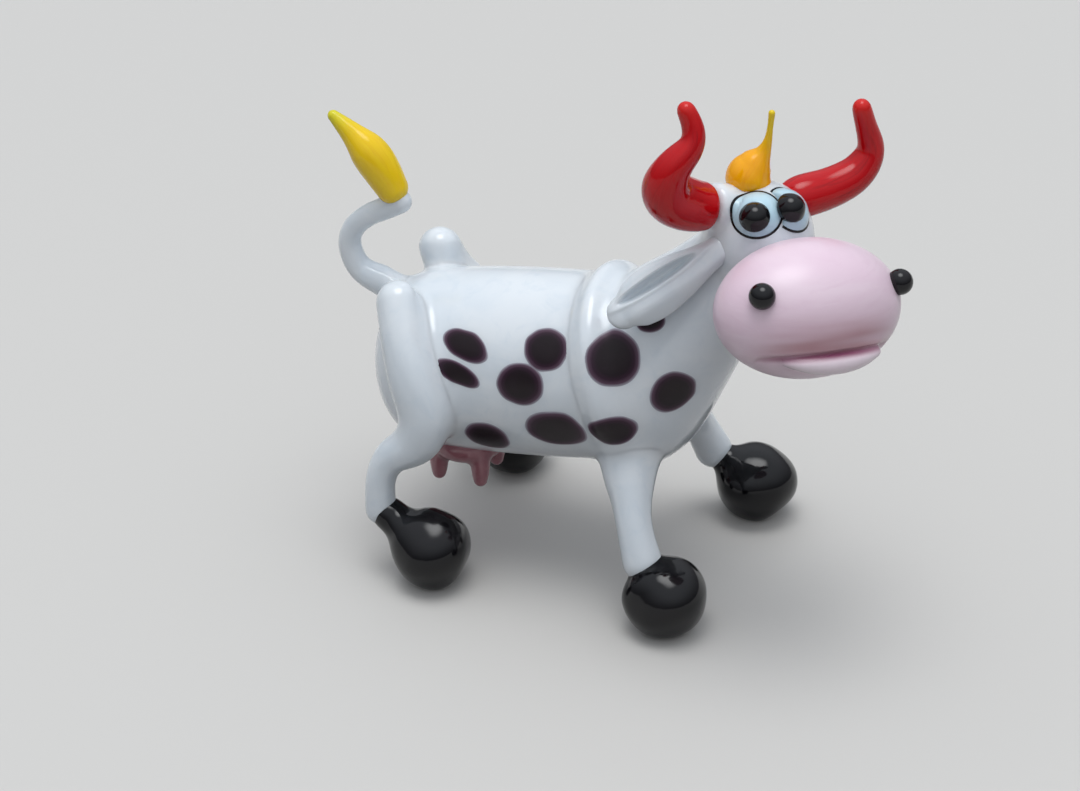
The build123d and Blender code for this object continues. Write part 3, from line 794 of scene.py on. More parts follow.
# %% Legs and tail
FRONT_LEG_TOP, FRONT_ANKLE = (23.3, 3.2, 14.5), (26.0, 9.0, 5.6)
FRONT_LEG_SHARES = ((0, 0, 0), (0.11, 0.345, 0.29), (0.45, 0.71, 0.56), (0.74, 0.91, 0.8), (1, 1, 1))
FRONT_LEG_RADII = [1.75 * share for share in (1.45, 1.4, 0.92, 0.82, 0.98)]
HIP_HEIGHTS = {"right": 21.8, "left": 22.3}
KNEE, HIND_ANKLE = (7.5, 7.6, 14.0), (4.1, 9.1, 5.5)
HIP_FORWARD, HIP_SIDE = 4.0, 4.4
THIGH_SHARES = {"right": ((0.3, 0.48, 0.27), (0.68, 0.84, 0.63)),
                "left": ((0.08, 0.42, 0.29), (0.54, 0.82, 0.65))}
SHIN_SHARES = ((0.22, 0.3, 0.27), (0.8, 0.65, 0.47), (1.03, 0.88, 0.72))
HIND_LEG_RADII = [2.25 * share for share in (0.75, 0.85, 0.97, 1.0, 0.85, 0.62, 0.54, 0.58)]
TAIL_ROOT, TAIL_SIZES = (3.2, 0, 19.7), (5.2, 0, 8.6)
TAIL_SHARES = ((0, 0, 0), (-0.45, 0, 0.13), (-0.83, 0, 0.23), (-1.0, 0, 0.44), (-0.93, 0, 0.64),
               (-0.67, 0, 0.8), (-0.36, 0, 0.91), (-0.14, 0, 0.99))
TAIL_RADII = (1.6, 1.3, 1.05, 0.95, 0.92, 0.92, 0.95, 0.95)
DROP = 1.03
LIMB_RINGS, LIMB_SIDES = 130, 64


def raw_front_leg(name):
    top, ankle = on_side(FRONT_LEG_TOP, SIDES[name]), on_side(FRONT_ANKLE, SIDES[name])
    return lay_rod(by_shares(top, ankle - top, FRONT_LEG_SHARES), FRONT_LEG_RADII, (0, DROP))


def raw_hind_leg(name):
    side = SIDES[name]
    hip = on_side((HIP_FORWARD, HIP_SIDE, HIP_HEIGHTS[name]), side)
    knee, ankle = on_side(KNEE, side), on_side(HIND_ANKLE, side)
    thigh = by_shares(hip, knee - hip, THIGH_SHARES[name])
    points = [hip, *thigh, knee, *by_shares(knee, ankle - knee, SHIN_SHARES), ankle]
    return lay_rod(points, HIND_LEG_RADII, (DROP, DROP), LIMB_RINGS, LIMB_SIDES)


TAIL_POINTS = by_shares(TAIL_ROOT, TAIL_SIZES, TAIL_SHARES)
for name in SIDES:
    raws[name + "_front_leg"] = raw_front_leg(name)
    raws[name + "_hind_leg"] = raw_hind_leg(name)
raws["tail"] = lay_rod(TAIL_POINTS, TAIL_RADII, (0, DROP), LIMB_RINGS)
print("white gathers:", list(raws))

# %% Melt the white gathers
WHITE_NAMES = list(raws)
WHITE_VOXEL, WHITE_PASSES, WHITE_SEAM_PASSES = 0.17, 5, 90
SEAMS = [("trunk", "chest", 0.7), ("chest", "head", 1.2), ("trunk", "tail", 1.8)]
for name in SIDES:
    SEAMS += [("chest", name + "_front_leg", 2.2), ("trunk", name + "_front_leg", 1.5),
              ("trunk", name + "_hind_leg", 2.0)]
skin, gaps = melted(raws, WHITE_VOXEL, WHITE_PASSES, SEAMS, WHITE_SEAM_PASSES)
skin_faces, skin_labels = face_labels(skin, gaps)
for label, name in enumerate(WHITE_NAMES):
    hand_over(parted(skin, skin_faces, skin_labels, label), name, WHITE)
print("white skin:", len(skin.polygons), "faces; pieces:", {n: COUNTS[n] for n in WHITE_NAMES})

# %% [markdown]
# ## Muzzle and mouth
# The muzzle is a fat pink egg. A strand is melted on to it as the lower lip, and while both are soft, a
# blade presses the line of the mouth along the strand's upper edge. The press is a narrow trough round
# the blade's plane, and a mask along it lets the finish paint the trough's shade in dark magenta. A
# second mask above it gives brownish streaks where the press pulled the pink thin, together with
# painted shade under the muzzle's bulge over the mouth.

# %% Muzzle and lower lip
MUZZLE_SIZES = (5.2, 7.35, 5.2)
MUZZLE_PLACE = HEAD_PLACE @ moved(8.3, 0, -1.8)
MOUTH_TURN, MOUTH_LIFT, MOUTH_TILT, MOUTH_ROLL, MOUTH_HALF_WIDTH = -2.0, -15.0, 20.0, 2.2, 5.2
MOUTH_DEPTH, MOUTH_WIDTH, MOUTH_BACK = 0.5, 0.24, -4.5
# Brownish streaks and painted shade over the mouth: how high, how low, how far up, how strong, how wide and
# how grainy.
STREAK_SHADE_RISE, STREAK_SHADE_FALL, STREAK_SHADE_CLIMB, STREAK_SHADE_AMOUNT = 0.25, 0.4, 2.0, 0.74
STREAK_SHADE_SPREAD, STREAK_SHADE_FULL, STREAK_SHADE_NOISE, STREAK_SHADE_GRAIN = 0.6, 1.1, 0.5, (0.2, 0.16, 2.0)
LIP_HALF_WIDTH, LIP_DROP, LIP_SHARES = 4.5, 1.05, (-1.0, -0.5, 0.05, 0.6, 1.1)
LIP_RADII = [0.95 * share for share in (0.35, 0.8, 1.0, 0.95, 0.6)]
LIP_FADE = 0.6
PINK_ROWS, PINK_VOXEL, PINK_PASSES, PINK_REACH, PINK_SEAM_PASSES = 180, 0.11, 2, 1.2, 60
mouth_front = on_egg(MUZZLE_SIZES, MOUTH_TURN, MOUTH_LIFT).translation
MOUTH = moved(*mouth_front) @ turned(MOUTH_TURN, "Z") @ turned(-MOUTH_TILT, "Y") @ turned(MOUTH_ROLL, "X")


def seen_from(place, mesh):
    """Points of a mesh in a placing's own millimetres."""
    back = place.inverted()
    return np.array([back @ v.co for v in mesh.vertices])


def mouth_mask(mesh):
    """How close each point is to the blade's line, from 0 to 1."""
    points = seen_from(STAND @ MUZZLE_PLACE @ MOUTH, mesh)
    ends = np.clip(1 - (points[:, 1] / MOUTH_HALF_WIDTH) ** 2, 0, 1) ** 0.5
    return np.exp(-(points[:, 2] / MOUTH_WIDTH) ** 2) * ends * (points[:, 0] > MOUTH_BACK)


def streaks_and_shade_mask(mesh):
    """Streaks along the mouth over its upper edge, where the press pulled the pink thin, and painted shade
    under the muzzle's bulge over the mouth.
    """
    points = seen_from(STAND @ MUZZLE_PLACE @ MOUTH, mesh)
    ends = np.clip(STREAK_SHADE_FULL - (points[:, 1] / (MOUTH_HALF_WIDTH + STREAK_SHADE_SPREAD)) ** 2, 0, 1)
    streak = np.array([noise.noise(Vector(point)) for point in points * np.array(STREAK_SHADE_GRAIN)])
    above = points[:, 2] - STREAK_SHADE_RISE
    rise = np.exp(-(above / np.where(above > 0, STREAK_SHADE_CLIMB, STREAK_SHADE_FALL)) ** 2)
    return np.clip(rise * ends * (STREAK_SHADE_AMOUNT + STREAK_SHADE_NOISE * streak), 0, 1) * (points[:, 0] > MOUTH_BACK)


def seam_mask(mesh):
    """How close the lip is to the egg under it, where its milky pink runs out into the muzzle's pink."""
    unit = seen_from(STAND @ MUZZLE_PLACE, mesh) / np.array(MUZZLE_SIZES)
    height = (np.linalg.norm(unit, axis=1) - 1) * MUZZLE_SIZES[0]
    return np.clip(1 - height / LIP_FADE, 0, 1)


lip_points = []
for share in LIP_SHARES:
    point = MOUTH @ Vector((0, LIP_HALF_WIDTH * share, -LIP_DROP))
    reach = Vector([part / half for part, half in zip(point, MUZZLE_SIZES)]).length
    lip_points.append(MUZZLE_PLACE @ (point / reach))
face_raws = {"muzzle": egg(MUZZLE_SIZES, MUZZLE_PLACE, PINK_ROWS),
             "lower_lip": lay_rod(lip_points, LIP_RADII, (DROP, DROP))}
pink_skin, pink_gaps = melted(face_raws, PINK_VOXEL, PINK_PASSES, [("muzzle", "lower_lip", PINK_REACH)],
                              PINK_SEAM_PASSES)
centre = STAND @ MUZZLE_PLACE.translation
for vertex, share in zip(pink_skin.vertices, mouth_mask(pink_skin)):
    vertex.co += (centre - vertex.co).normalized() * float(share) * MOUTH_DEPTH * MM
pink_skin.update()
pink_faces, pink_labels = face_labels(pink_skin, pink_gaps)
for label, (name, finish, slot) in enumerate((("muzzle", PINK, "pink_glass"),
                                              ("lower_lip", LIP, "lip_glass"))):
    mesh = parted(pink_skin, pink_faces, pink_labels, label, centre)
    # The mouth field paints shade into the groove. The field above it paints brownish streaks and the shade
    # under the muzzle's bulge.
    for field, mask in (("mouth", mouth_mask), ("streaks_and_shade", streaks_and_shade_mask), ("seam", seam_mask)):
        store(mesh, field, mask(mesh))
    hand_over(mesh, name, finish)
print("muzzle and lip faces:", COUNTS["muzzle"], COUNTS["lower_lip"])

# %% [markdown]
# ## Udder
# A dusky pink mound under the belly with four short points drawn down from it, melted together and then
# parted into the mound and the group of points.

# %% Udder and teats
UDDER_SIZES, UDDER_FORWARD = (3.4, 3.4, 2.0), 7.9
TEAT_RADIUS, TEAT_LENGTH, TEAT_SPREAD, TEAT_TIP_SHARE = 0.8, 2.6, 1.8, 0.6
ROSE_ROWS, ROSE_VOXEL, ROSE_PASSES, ROSE_REACH, ROSE_SEAM_PASSES = 64, 0.13, 3, 0.6, 16
UDDER_PLACE = moved(UDDER_FORWARD, 0, trunk_line(UDDER_FORWARD) - TRUNK_RADIUS)
udder_raws = {"udder": egg(UDDER_SIZES, UDDER_PLACE, ROSE_ROWS)}
teat_drop = math.sqrt(1 - 2 * (TEAT_SPREAD / UDDER_SIZES[0]) ** 2) * UDDER_SIZES[2]
for along in SIDES.values():
    for side in SIDES.values():
        top = Vector((along * TEAT_SPREAD, side * TEAT_SPREAD, TEAT_RADIUS - teat_drop))
        points = [UDDER_PLACE @ (top - Vector((0, 0, TEAT_LENGTH * share))) for share in (0, 0.5, 1)]
        radii = (TEAT_RADIUS, TEAT_RADIUS, TEAT_RADIUS * TEAT_TIP_SHARE)
        udder_raws[f"teat_{along}_{side}"] = lay_rod(points, radii, (DROP, DROP), rings=60, sides=40)
teat_seams = [("udder", name, ROSE_REACH) for name in udder_raws if name != "udder"]
rose_skin, rose_gaps = melted(udder_raws, ROSE_VOXEL, ROSE_PASSES, teat_seams, ROSE_SEAM_PASSES)
rose_faces, rose_labels = face_labels(rose_skin, rose_gaps)
rose_labels = np.minimum(rose_labels, 1)
for label, name in enumerate(("udder", "teats")):
    hand_over(parted(rose_skin, rose_faces, rose_labels, label), name, ROSE)
print("udder and teat faces:", COUNTS["udder"], COUNTS["teats"])

# %% [markdown]
# ## Hooves
# A hoof is a ball of jet black pushed on to the ankle while soft: the ball sags flat where it stood, a
# tongue of it climbs the ankle and cups a hind one from the front, and the push leaves slow lumps. Ball and
# tongue are melted together, the lumps come from a fixed noise along the normals and leave the ankle
# free, and nothing goes under the floor.

# %% Hooves
HOOF_HALF_HEIGHT, SOLE_RADIUS = 3.25, 1.5
TONGUE_RADII, TONGUE_DROPS = {"front": 1.25, "hind": 1.5}, {"front": 0.2, "hind": 0.45}
TONGUE_SHIFTS = {"front": 0.0, "hind": 0.75}
HOOF_FORWARD = {"right_front": 28.2, "left_front": 29.7, "right_hind": HIND_HOOF_FORWARD,
                "left_hind": HIND_HOOF_FORWARD}
HOOF_RISE = math.sqrt(1 - (SOLE_RADIUS / HOOF_RADIUS) ** 2) * HOOF_HALF_HEIGHT
LUMP, LUMP_SCALE, LUMP_FREE, LUMP_SEED = 0.42, 280.0, 1.8, (7.0, 3.0)
BLACK_VOXEL, BLACK_PASSES, BLACK_REACH, BLACK_SEAM_PASSES = 0.17, 3, 2.0, 80


def hoof(name):
    side_name, end = name.split("_")
    side = SIDES[side_name]
    centre = Vector((HOOF_FORWARD[name], side * HOOF_SPREAD, HOOF_RISE))
    ankle = on_side(FRONT_ANKLE if end == "front" else HIND_ANKLE, side)
    cup = ankle + Vector((TONGUE_SHIFTS[end], 0, -TONGUE_DROPS[end]))
    ball = egg((HOOF_RADIUS, HOOF_RADIUS, HOOF_HALF_HEIGHT), Matrix.Translation(centre))
    tongue = lay_rod([cup, (cup + centre) / 2, centre], [TONGUE_RADII[end]] * 3, (DROP, 0), rings=60)
    black, _ = melted({"ball": ball, "tongue": tongue}, BLACK_VOXEL, BLACK_PASSES,
                      [("ball", "tongue", BLACK_REACH)], BLACK_SEAM_PASSES)
    seed = Vector((HOOF_FORWARD[name], side * LUMP_SEED[0], LUMP_SEED[1]))
    for vertex, out in zip(black.vertices, [v.normal.copy() for v in black.vertices]):
        lump = noise.noise(vertex.co * LUMP_SCALE + seed)
        clear = (vertex.co - STAND @ ankle).length / MM - LUMP_FREE
        vertex.co += out * lump * LUMP * MM * min(max(clear / LUMP_FREE, 0.0), 1.0)
        vertex.co.z = max(vertex.co.z, 0.0)
    return black


for name in HOOF_FORWARD:
    hand_over(hoof(name), name + "_hoof", BLACK)
print("hoof faces:", [COUNTS[name + "_hoof"] for name in HOOF_FORWARD])

# %% [markdown]
# ## Horns, forelock and tuft
# These are the purest drawn rods, so they come straight from the tree with its own UV, along which the
# finish pulls its streaks. The root of each is inside its carrier and the tip is a round drop.

# %% Horns, forelock and tuft
HORN_RADII = {"right": 2.15, "left": 1.75}
HORN_SIZES = (2.0, 6.0, 9.0)
DRAWN_RINGS, HORN_SIDES = 150, 72
HORN_SHARES = {
    "right": ((0.0, 0.13, 0.04), (0.15, 0.5, 0.1), (0.4, 0.85, 0.25), (0.8, 0.88, 0.5), (0.9, 0.67, 0.7),
              (0.75, 0.66, 0.85), (0.55, 0.75, 0.98)),
    "left": ((0, -0.3, -0.03), (0, -0.05, 0.05), (0, 0.37, 0.11), (0, 0.73, 0.22), (0, 0.9, 0.4),
             (0, 0.86, 0.53), (0, 0.77, 0.66), (0, 0.67, 0.82)),
}
HORN_RADIUS_SHARES = {"right": (0.87, 1.0, 0.97, 0.7, 0.5, 0.41, 0.32),
                      "left": (0.8, 1.0, 0.95, 0.86, 0.7, 0.58, 0.5, 0.43)}
HORN_DROPS = {"right": 0.5, "left": 1.4}
HORN_TURN, HORN_LIFT, HORN_EASE = 97.0, 33.0, 60
FORELOCK_TURN, FORELOCK_LIFT, FORELOCK_SIZES, FORELOCK_SINK = -142.0, 69.0, (0.6, 0.85, 5.7), 0.4
FORELOCK_SHARES = ((0, 0, -0.12), (0, 0, 0.07), (0.25, 0.4, 0.27), (0.6, 0.85, 0.44), (0.85, 1.05, 0.61),
                   (0.97, 1.05, 0.82), (1.0, 1.0, 1.0))
FORELOCK_RADII = [1.75 * share for share in (0.8, 1.0, 0.74, 0.36, 0.19, 0.13, 0.155)]
TUFT_SIZES = (5.6, 0, 6.8)
TUFT_SHARES = ((-0.11, 0, 0.14), (-0.27, 0, 0.36), (-0.47, 0, 0.58), (-0.72, 0, 0.78), (-1.0, 0, 0.97))
TUFT_RADII = [1.5 * share for share in (0.74, 1.0, 1.0, 0.62, 0.24)]

for name, side in SIDES.items():
    root = on_egg(HEAD_SIZES, side * HORN_TURN, HORN_LIFT).translation
    points = [HEAD_PLACE @ p for p in by_shares(root, on_side(HORN_SIZES, side), HORN_SHARES[name])]
    radii = [HORN_RADII[name] * share for share in HORN_RADIUS_SHARES[name]]
    drops = (HORN_DROPS[name], None)
    horn = lay_rod(points, radii, (0, DROP), DRAWN_RINGS, HORN_SIDES, glass=RED, drops=drops)
    hand_over(eased(horn, HORN_EASE), name + "_horn", RED)
root = on_egg(HEAD_SIZES, FORELOCK_TURN, FORELOCK_LIFT).translation
lock_points = [HEAD_PLACE @ p for p in by_shares(root, FORELOCK_SIZES, FORELOCK_SHARES)]
tuft_points = by_shares(TAIL_POINTS[-1], TUFT_SIZES, TUFT_SHARES)
for name, points, radii, sink, finish, slot in (
        ("forelock", lock_points, FORELOCK_RADII, FORELOCK_SINK, ORANGE, "orange_glass"),
        ("tail_tuft", tuft_points, TUFT_RADII, DROP, YELLOW, "yellow_glass")):
    mesh = lay_rod(points, radii, (sink, DROP), DRAWN_RINGS, LIMB_SIDES, glass=finish)
    hand_over(mesh, name, finish)
print("horn faces:", COUNTS["right_horn"], "tuft faces:", COUNTS["tail_tuft"])

# %% [markdown]
# ## Dots on a surface
# Spots and eyes are dots of glass touched on to the hot body: flat lenses that follow the skin under
# them. This tree sets a round disc at each point, sends a ray from every point of it to the white skin
# and lays it there, high in the middle and flush at its edge. Where the ray meets another gather than
# the dot's own, the dot dives under it, as a lapped spot does. How far a point is from the middle is
# kept as an attribute, for the colour.

# %% Dot tree
DISC_LEAST_GAP, LENS_LEAST_GAP, EDGE_SINK = 1e-4, 1e-6, 1e-5
WOBBLE_SCALE, RAY_LENGTH, DIVE_SPAN = 420.0, 0.03, (0.1, -0.2)


def dot_tree():
    tree, given = new_tree("dots_on_skin", [
        ("Skin", "Object"), ("Field", "String"), ("Dive", "Float"), ("Rise", "Float"), ("Depth", "Float"),
        ("Edge Power", "Float"), ("Lump", "Float"), ("Reach", "Float"), ("Rings", "Int"), ("Sides", "Int"),
        ("Glass", "Material")])
    grid, edge, turn = ring_grid(tree, given)
    x, y = (maths(tree, "MULTIPLY", edge, maths(tree, wave, turn)) for wave in ("COSINE", "SINE"))
    disc = wire(tree, "GeometryNodeStoreNamedAttribute", {"data_type": "FLOAT", "domain": "POINT"},
                Geometry=grid["Mesh"], Name="dot_edge", Value=edge)
    flat = wire(tree, "ShaderNodeCombineXYZ", X=x, Y=y)
    disc = wire(tree, "GeometryNodeSetPosition", Geometry=disc, Position=flat)
    disc = wire(tree, "GeometryNodeMergeByDistance", Geometry=disc, Distance=DISC_LEAST_GAP)
    dots = wire(tree, "GeometryNodeInstanceOnPoints", Points=given["Geometry"], Instance=disc,
                Rotation=named(tree, "QUATERNION", "dot_turn"), Scale=named(tree, "FLOAT_VECTOR", "dot_size"))
    dots = wire(tree, "GeometryNodeRealizeInstances", Geometry=dots)
    place = wire(tree, "GeometryNodeInputPosition")
    edge = named(tree, "FLOAT", "dot_edge")
    wobble = add(tree, "ShaderNodeTexNoise", Vector=place, Scale=WOBBLE_SCALE, Detail=1.0).outputs["Color"]
    wobble = vectors(tree, "SUBTRACT", wobble, (0.5, 0.5, 0.5))
    wobble = scaled(tree, wobble, maths(tree, "MULTIPLY", given["Lump"], edge))
    dots = wire(tree, "GeometryNodeSetPosition", Geometry=dots, Offset=wobble)
    look = named(tree, "FLOAT_VECTOR", "dot_look")
    start = vectors(tree, "ADD", place, scaled(tree, look, given["Reach"]))
    skin = add(tree, "GeometryNodeObjectInfo", Object=given["Skin"]).outputs["Geometry"]
    ray = add(tree, "GeometryNodeRaycast", {"data_type": "FLOAT"}, Target_Geometry=skin,
              Source_Position=start, Ray_Direction=scaled(tree, look, -1.0), Ray_Length=RAY_LENGTH,
              Attribute=named(tree, "FLOAT", given["Field"])).outputs
    other = wire(tree, "ShaderNodeMapRange", Value=ray["Attribute"], From_Min=DIVE_SPAN[0],
                 From_Max=DIVE_SPAN[1])
    dive = maths(tree, "MULTIPLY_ADD", other, given["Dive"], EDGE_SINK)
    fall = maths(tree, "SUBTRACT", 1.0, maths(tree, "POWER", edge, given["Edge Power"]))
    lens = tree.nodes.new("GeometryNodeJoinGeometry")
    for share, label in ((1.0, "Rise"), (-1.0, "Depth")):
        height = maths(tree, "MULTIPLY", maths(tree, "MULTIPLY", fall, given[label]), share)
        lift = scaled(tree, ray["Hit Normal"], maths(tree, "SUBTRACT", height, dive))
        half = wire(tree, "GeometryNodeSetPosition", Geometry=dots,
                    Position=vectors(tree, "ADD", ray["Hit Position"], lift))
        if share < 0:
            half = wire(tree, "GeometryNodeFlipFaces", Mesh=half)
        tree.links.new(half, lens.inputs[0])
    return end_tree(tree, lens.outputs[0], given["Glass"], LENS_LEAST_GAP)


DOTS = dot_tree()
print("dot tree:", len(DOTS.nodes), "nodes")

# %% [markdown]
# ## Laying dots
# The white skin is the target of the rays. It keeps a field for each gather that carries dots: the
# millimetres of room before a dot has to dive out of sight.

# %% Laying dots
skin_target = placed("skin_target", skin)
for row, name in enumerate(WHITE_NAMES[:3]):
    store(skin, "room_on_" + name, np.delete(gaps, row, 0).min(0) - gaps[row])


def lay_dots(looks, sizes, field, glass, rise, dive=0.4, depth=0.12, power=4.0, lump=0.0, reach=9.6, rings=24,
             sides=72):
    """Dots at millimetre placings whose Z is the look; sizes are half lengths and half heights in mm."""
    carrier = raw_mesh([STAND @ look.translation for look in looks], [])
    store(carrier, "dot_turn", [c for look in looks for c in look.to_quaternion()], "QUATERNION")
    store(carrier, "dot_size", [c * MM for size in sizes for c in (*size, 1.0)], "FLOAT_VECTOR")
    store(carrier, "dot_look", [c for look in looks for c in look.to_3x3().col[2]], "FLOAT_VECTOR")
    inputs = {"Skin": skin_target, "Field": field, "Edge Power": power, "Rings": rings, "Sides": sides,
              "Glass": glass}
    for label, length in (("Dive", dive), ("Rise", rise), ("Depth", depth), ("Lump", lump), ("Reach", reach)):
        inputs[label] = length * MM
    return outward(grown(DOTS, carrier, inputs))


print("fields on the skin:", [a.name for a in skin.attributes if a.name.startswith("room")])

# %% [markdown]
# ## Dark spots
# The spots are a brown that is nearly black, and where it thins at the edge over the white it turns
# purple and then lilac. The colour follows the dot's own edge attribute, so every spot has this rim.

# %% Spot finish and spots
SPOT_STOPS = ((0.0, (0.01, 0.005, 0.007)), (1.0, (0.50, 0.50, 0.57)), (0.58, (0.012, 0.005, 0.009)),
              (0.74, (0.027, 0.009, 0.021)), (0.88, (0.10, 0.055, 0.085)))
SPOT_RIM = (0.4, 0.65)


def rim_colour(tree, where, before):
    """Colour that runs to the rim by stops, from the finish's own colour in the middle."""
    ramp = add(tree, "ShaderNodeValToRGB", Fac=where)
    for place, (share, colour) in enumerate(SPOT_STOPS):
        stop = ramp.color_ramp.elements[place] if place < 2 else ramp.color_ramp.elements.new(share)
        stop.position, stop.color = share, (*colour, 1)
    mask = wire(tree, "ShaderNodeMapRange", Value=where, From_Min=SPOT_RIM[0], From_Max=SPOT_RIM[1])
    return mixed(tree, mask, before, ramp.outputs[0])


SPOT = glass("spot_brown", (0.01, 0.005, 0.007), (0.016, 0.008, 0.012), (0.02, 0.01, 0.018), polish=0.3,
             coat=0.0, shine=0.25)
by_attribute(SPOT, "dot_edge", rim_colour)
TRUNK_SPOTS = {
    "right": ((0.445, 54.5, 0.3, 0.16, -25.0), (0.42, 71.5, 0.28, 0.12, -25.0),
              (0.655, 76.0, 0.27, 0.24, 0.0), (0.745, 54.5, 0.26, 0.24, 0.0),
              (0.49, 118.0, 0.26, 0.26, 0.0), (0.763, 106.5, 0.36, 0.26, 0.0)),
    "left": ((0.42, 56.0, 0.28, 0.2, -20.0), (0.57, 82.0, 0.29, 0.22, 10.0), (0.72, 54.0, 0.25, 0.21, 0.0),
             (0.48, 114.0, 0.26, 0.2, 0.0), (0.73, 108.0, 0.32, 0.23, 0.0)),
}
CHEST_SPOTS = {
    "right": ((0.481, 69.5, 0.27, 0.31, 0.0), (0.96, 118.0, 0.23, 0.23, 0.0),
              (0.125, 105.5, 0.28, 0.19, -20.0), (1.03, 59.0, 0.17, 0.13, 0.0)),
    "left": ((0.5, 64.0, 0.26, 0.28, 0.0), (0.9, 114.0, 0.23, 0.22, 0.0), (0.2, 104.0, 0.26, 0.18, -15.0)),
}
CHEST_RADIUS, CHEST_TILT = 7.2, 26.0
SPOT_RISE, SPOT_SPREAD, SPOT_LUMP = 0.1, 1.03, 0.5
SHOULDER_FORWARD, THROAT_FORWARD = 21.4, 26.0
shoulder = Vector((SHOULDER_FORWARD, 0, trunk_line(SHOULDER_FORWARD)))
throat = Vector((THROAT_FORWARD, 0, CHEST_HEIGHTS[THROAT_FORWARD]))


def on_trunk(share):
    return TRUNK_PLACE @ moved(TRUNK_LENGTH * share, 0, 0)


def on_chest(share):
    return Matrix.Translation(shoulder.lerp(throat, share)) @ turned(-CHEST_TILT, "Y")


for name, side in SIDES.items():
    for gather, table, radius, place in (("trunk", TRUNK_SPOTS, TRUNK_RADIUS, on_trunk),
                                         ("chest", CHEST_SPOTS, CHEST_RADIUS, on_chest)):
        looks, sizes = [], []
        for share, angle, long_share, high_share, tilt in table[name]:
            looks.append(place(share) @ turned(-side * angle, "X") @ turned(-side * tilt, "Z"))
            sizes.append([radius * (part * SPOT_SPREAD) for part in (long_share, high_share)])
        mesh = lay_dots(looks, sizes, "room_on_" + gather, SPOT, SPOT_RISE, lump=SPOT_LUMP)
        hand_over(mesh, f"{gather}_spots_{name}", SPOT)
print("spot faces:", {n: c for n, c in COUNTS.items() if "spots" in n})

# %% [markdown]
# ## Eyes and nostrils
# An eye is three dots on one another: a black one that shows as a thin ring, a pale blue one on it, and
# a round black bead for the pupil. The first two come from the dot tree. Pupils and nostrils are beads
# that stand up from the surface, with a small foot where the hot bead wets what it sits on.

# %% Eyes, pupils and nostrils
EYE_TURNS, EYE_LIFTS = {"right": -40.0, "left": 25.0}, {"right": 47.0, "left": 52.0}
PUPIL_TURNS, PUPIL_LIFTS = {"right": -39.5, "left": 12.0}, {"right": 40.5, "left": 50.0}
NOSTRIL_TURNS, NOSTRIL_LIFTS = {"right": -57.0, "left": 66.0}, {"right": 30.0, "left": 26.0}
EYE_RADIUS, EYE_DOME, EYE_RIM, EYE_RIM_DOME = 1.85, 0.75, 0.15, 0.12
EYE_POWER, EYE_RIM_POWER, EYE_DIVE, EYE_DEEP, EYE_REACH = 2.2, 5.0, 0.9, 3.0, 5.5
EYE_RINGS, EYE_SIDES, BEAD_ROWS = 64, 160, 64
PUPIL_RADIUS, PUPIL_SINK, NOSTRIL_RADIUS, NOSTRIL_STAND = 1.1, 0.35, 0.98, 0.35
BEAD_HEIGHT_SHARE, FOOT, FOOT_DOWN_SHARE, FOOT_HIGH_SHARE = 0.97, 0.06, 0.25, 0.22


def bead(seat, radius, stand):
    """Bead whose middle stands over a placing, with a foot that spreads a little at the seat's plane."""
    mesh = egg((radius, radius, radius * BEAD_HEIGHT_SHARE), seat @ moved(0, 0, stand), BEAD_ROWS)
    back = (STAND @ seat).inverted()
    for vertex in mesh.vertices:
        local = back @ vertex.co
        height = (local.z + FOOT_DOWN_SHARE * radius) / (FOOT_HIGH_SHARE * radius)
        flare = 1 + FOOT * math.exp(-height ** 2)
        vertex.co = STAND @ seat @ Vector((local.x * flare, local.y * flare, local.z))
    return smoothed(mesh)


skin_points = mesh_arrays(skin)[0]
near_eye = STAND @ HEAD_PLACE @ on_egg(HEAD_SIZES, EYE_TURNS["right"], EYE_LIFTS["right"])
near_axis = np.array(near_eye.col[2].xyz.normalized())
across_eye = skin_points - np.array(near_eye.translation)
across_eye -= np.outer(across_eye @ near_axis, near_axis)
store(skin, "room_by_near_eye", np.linalg.norm(across_eye, axis=1) / MM - EYE_RADIUS - EYE_RIM)

for name, field in (("right", "room_on_head"), ("left", "room_by_near_eye")):
    eye_seat = HEAD_PLACE @ on_egg(HEAD_SIZES, EYE_TURNS[name], EYE_LIFTS[name])
    look = eye_seat @ moved(0, 0, -EYE_DEEP)
    for part, radius, dome, power, finish, slot in (
            ("_eye_rim", EYE_RADIUS + EYE_RIM, EYE_RIM_DOME, EYE_RIM_POWER, BLACK, "black_glass"),
            ("_eye_white", EYE_RADIUS, EYE_DOME, EYE_POWER, EYE, "eye_glass")):
        mesh = lay_dots([look], [(radius, radius)], field, finish, dome, EYE_DIVE, power=power,
                        reach=EYE_REACH, rings=EYE_RINGS, sides=EYE_SIDES)
        hand_over(mesh, name + part, finish)
    pupil_seat = HEAD_PLACE @ on_egg(HEAD_SIZES, PUPIL_TURNS[name], PUPIL_LIFTS[name])
    pupil = bead(pupil_seat @ moved(0, 0, EYE_DOME), PUPIL_RADIUS, -PUPIL_SINK)
    hand_over(pupil, name + "_pupil", BLACK)
    nose_seat = MUZZLE_PLACE @ on_egg(MUZZLE_SIZES, NOSTRIL_TURNS[name], NOSTRIL_LIFTS[name])
    nostril = bead(nose_seat, NOSTRIL_RADIUS, NOSTRIL_STAND)
    hand_over(nostril, name + "_nostril", BLACK)
bpy.data.objects.remove(skin_target)
print("eye faces:", {n: c for n, c in COUNTS.items() if "eye" in n or "pupil" in n})

# %% [markdown]
# ## Floor, light and camera
# The studio is plain: a pale floor, soft light from above as in the photograph, and a weak lamp in front.
# The sky is dim at the horizon, bright overhead and brightest round the zenith, so that black glass shows
# a broad soft gleam. The lamps only add shade, so reflections leave them out. The floor is pale to the eye
# and in reflections, but throws back less light than it shows, so that the underside keeps its shade. The
# camera stands where the photograph was taken from, with a long lens.

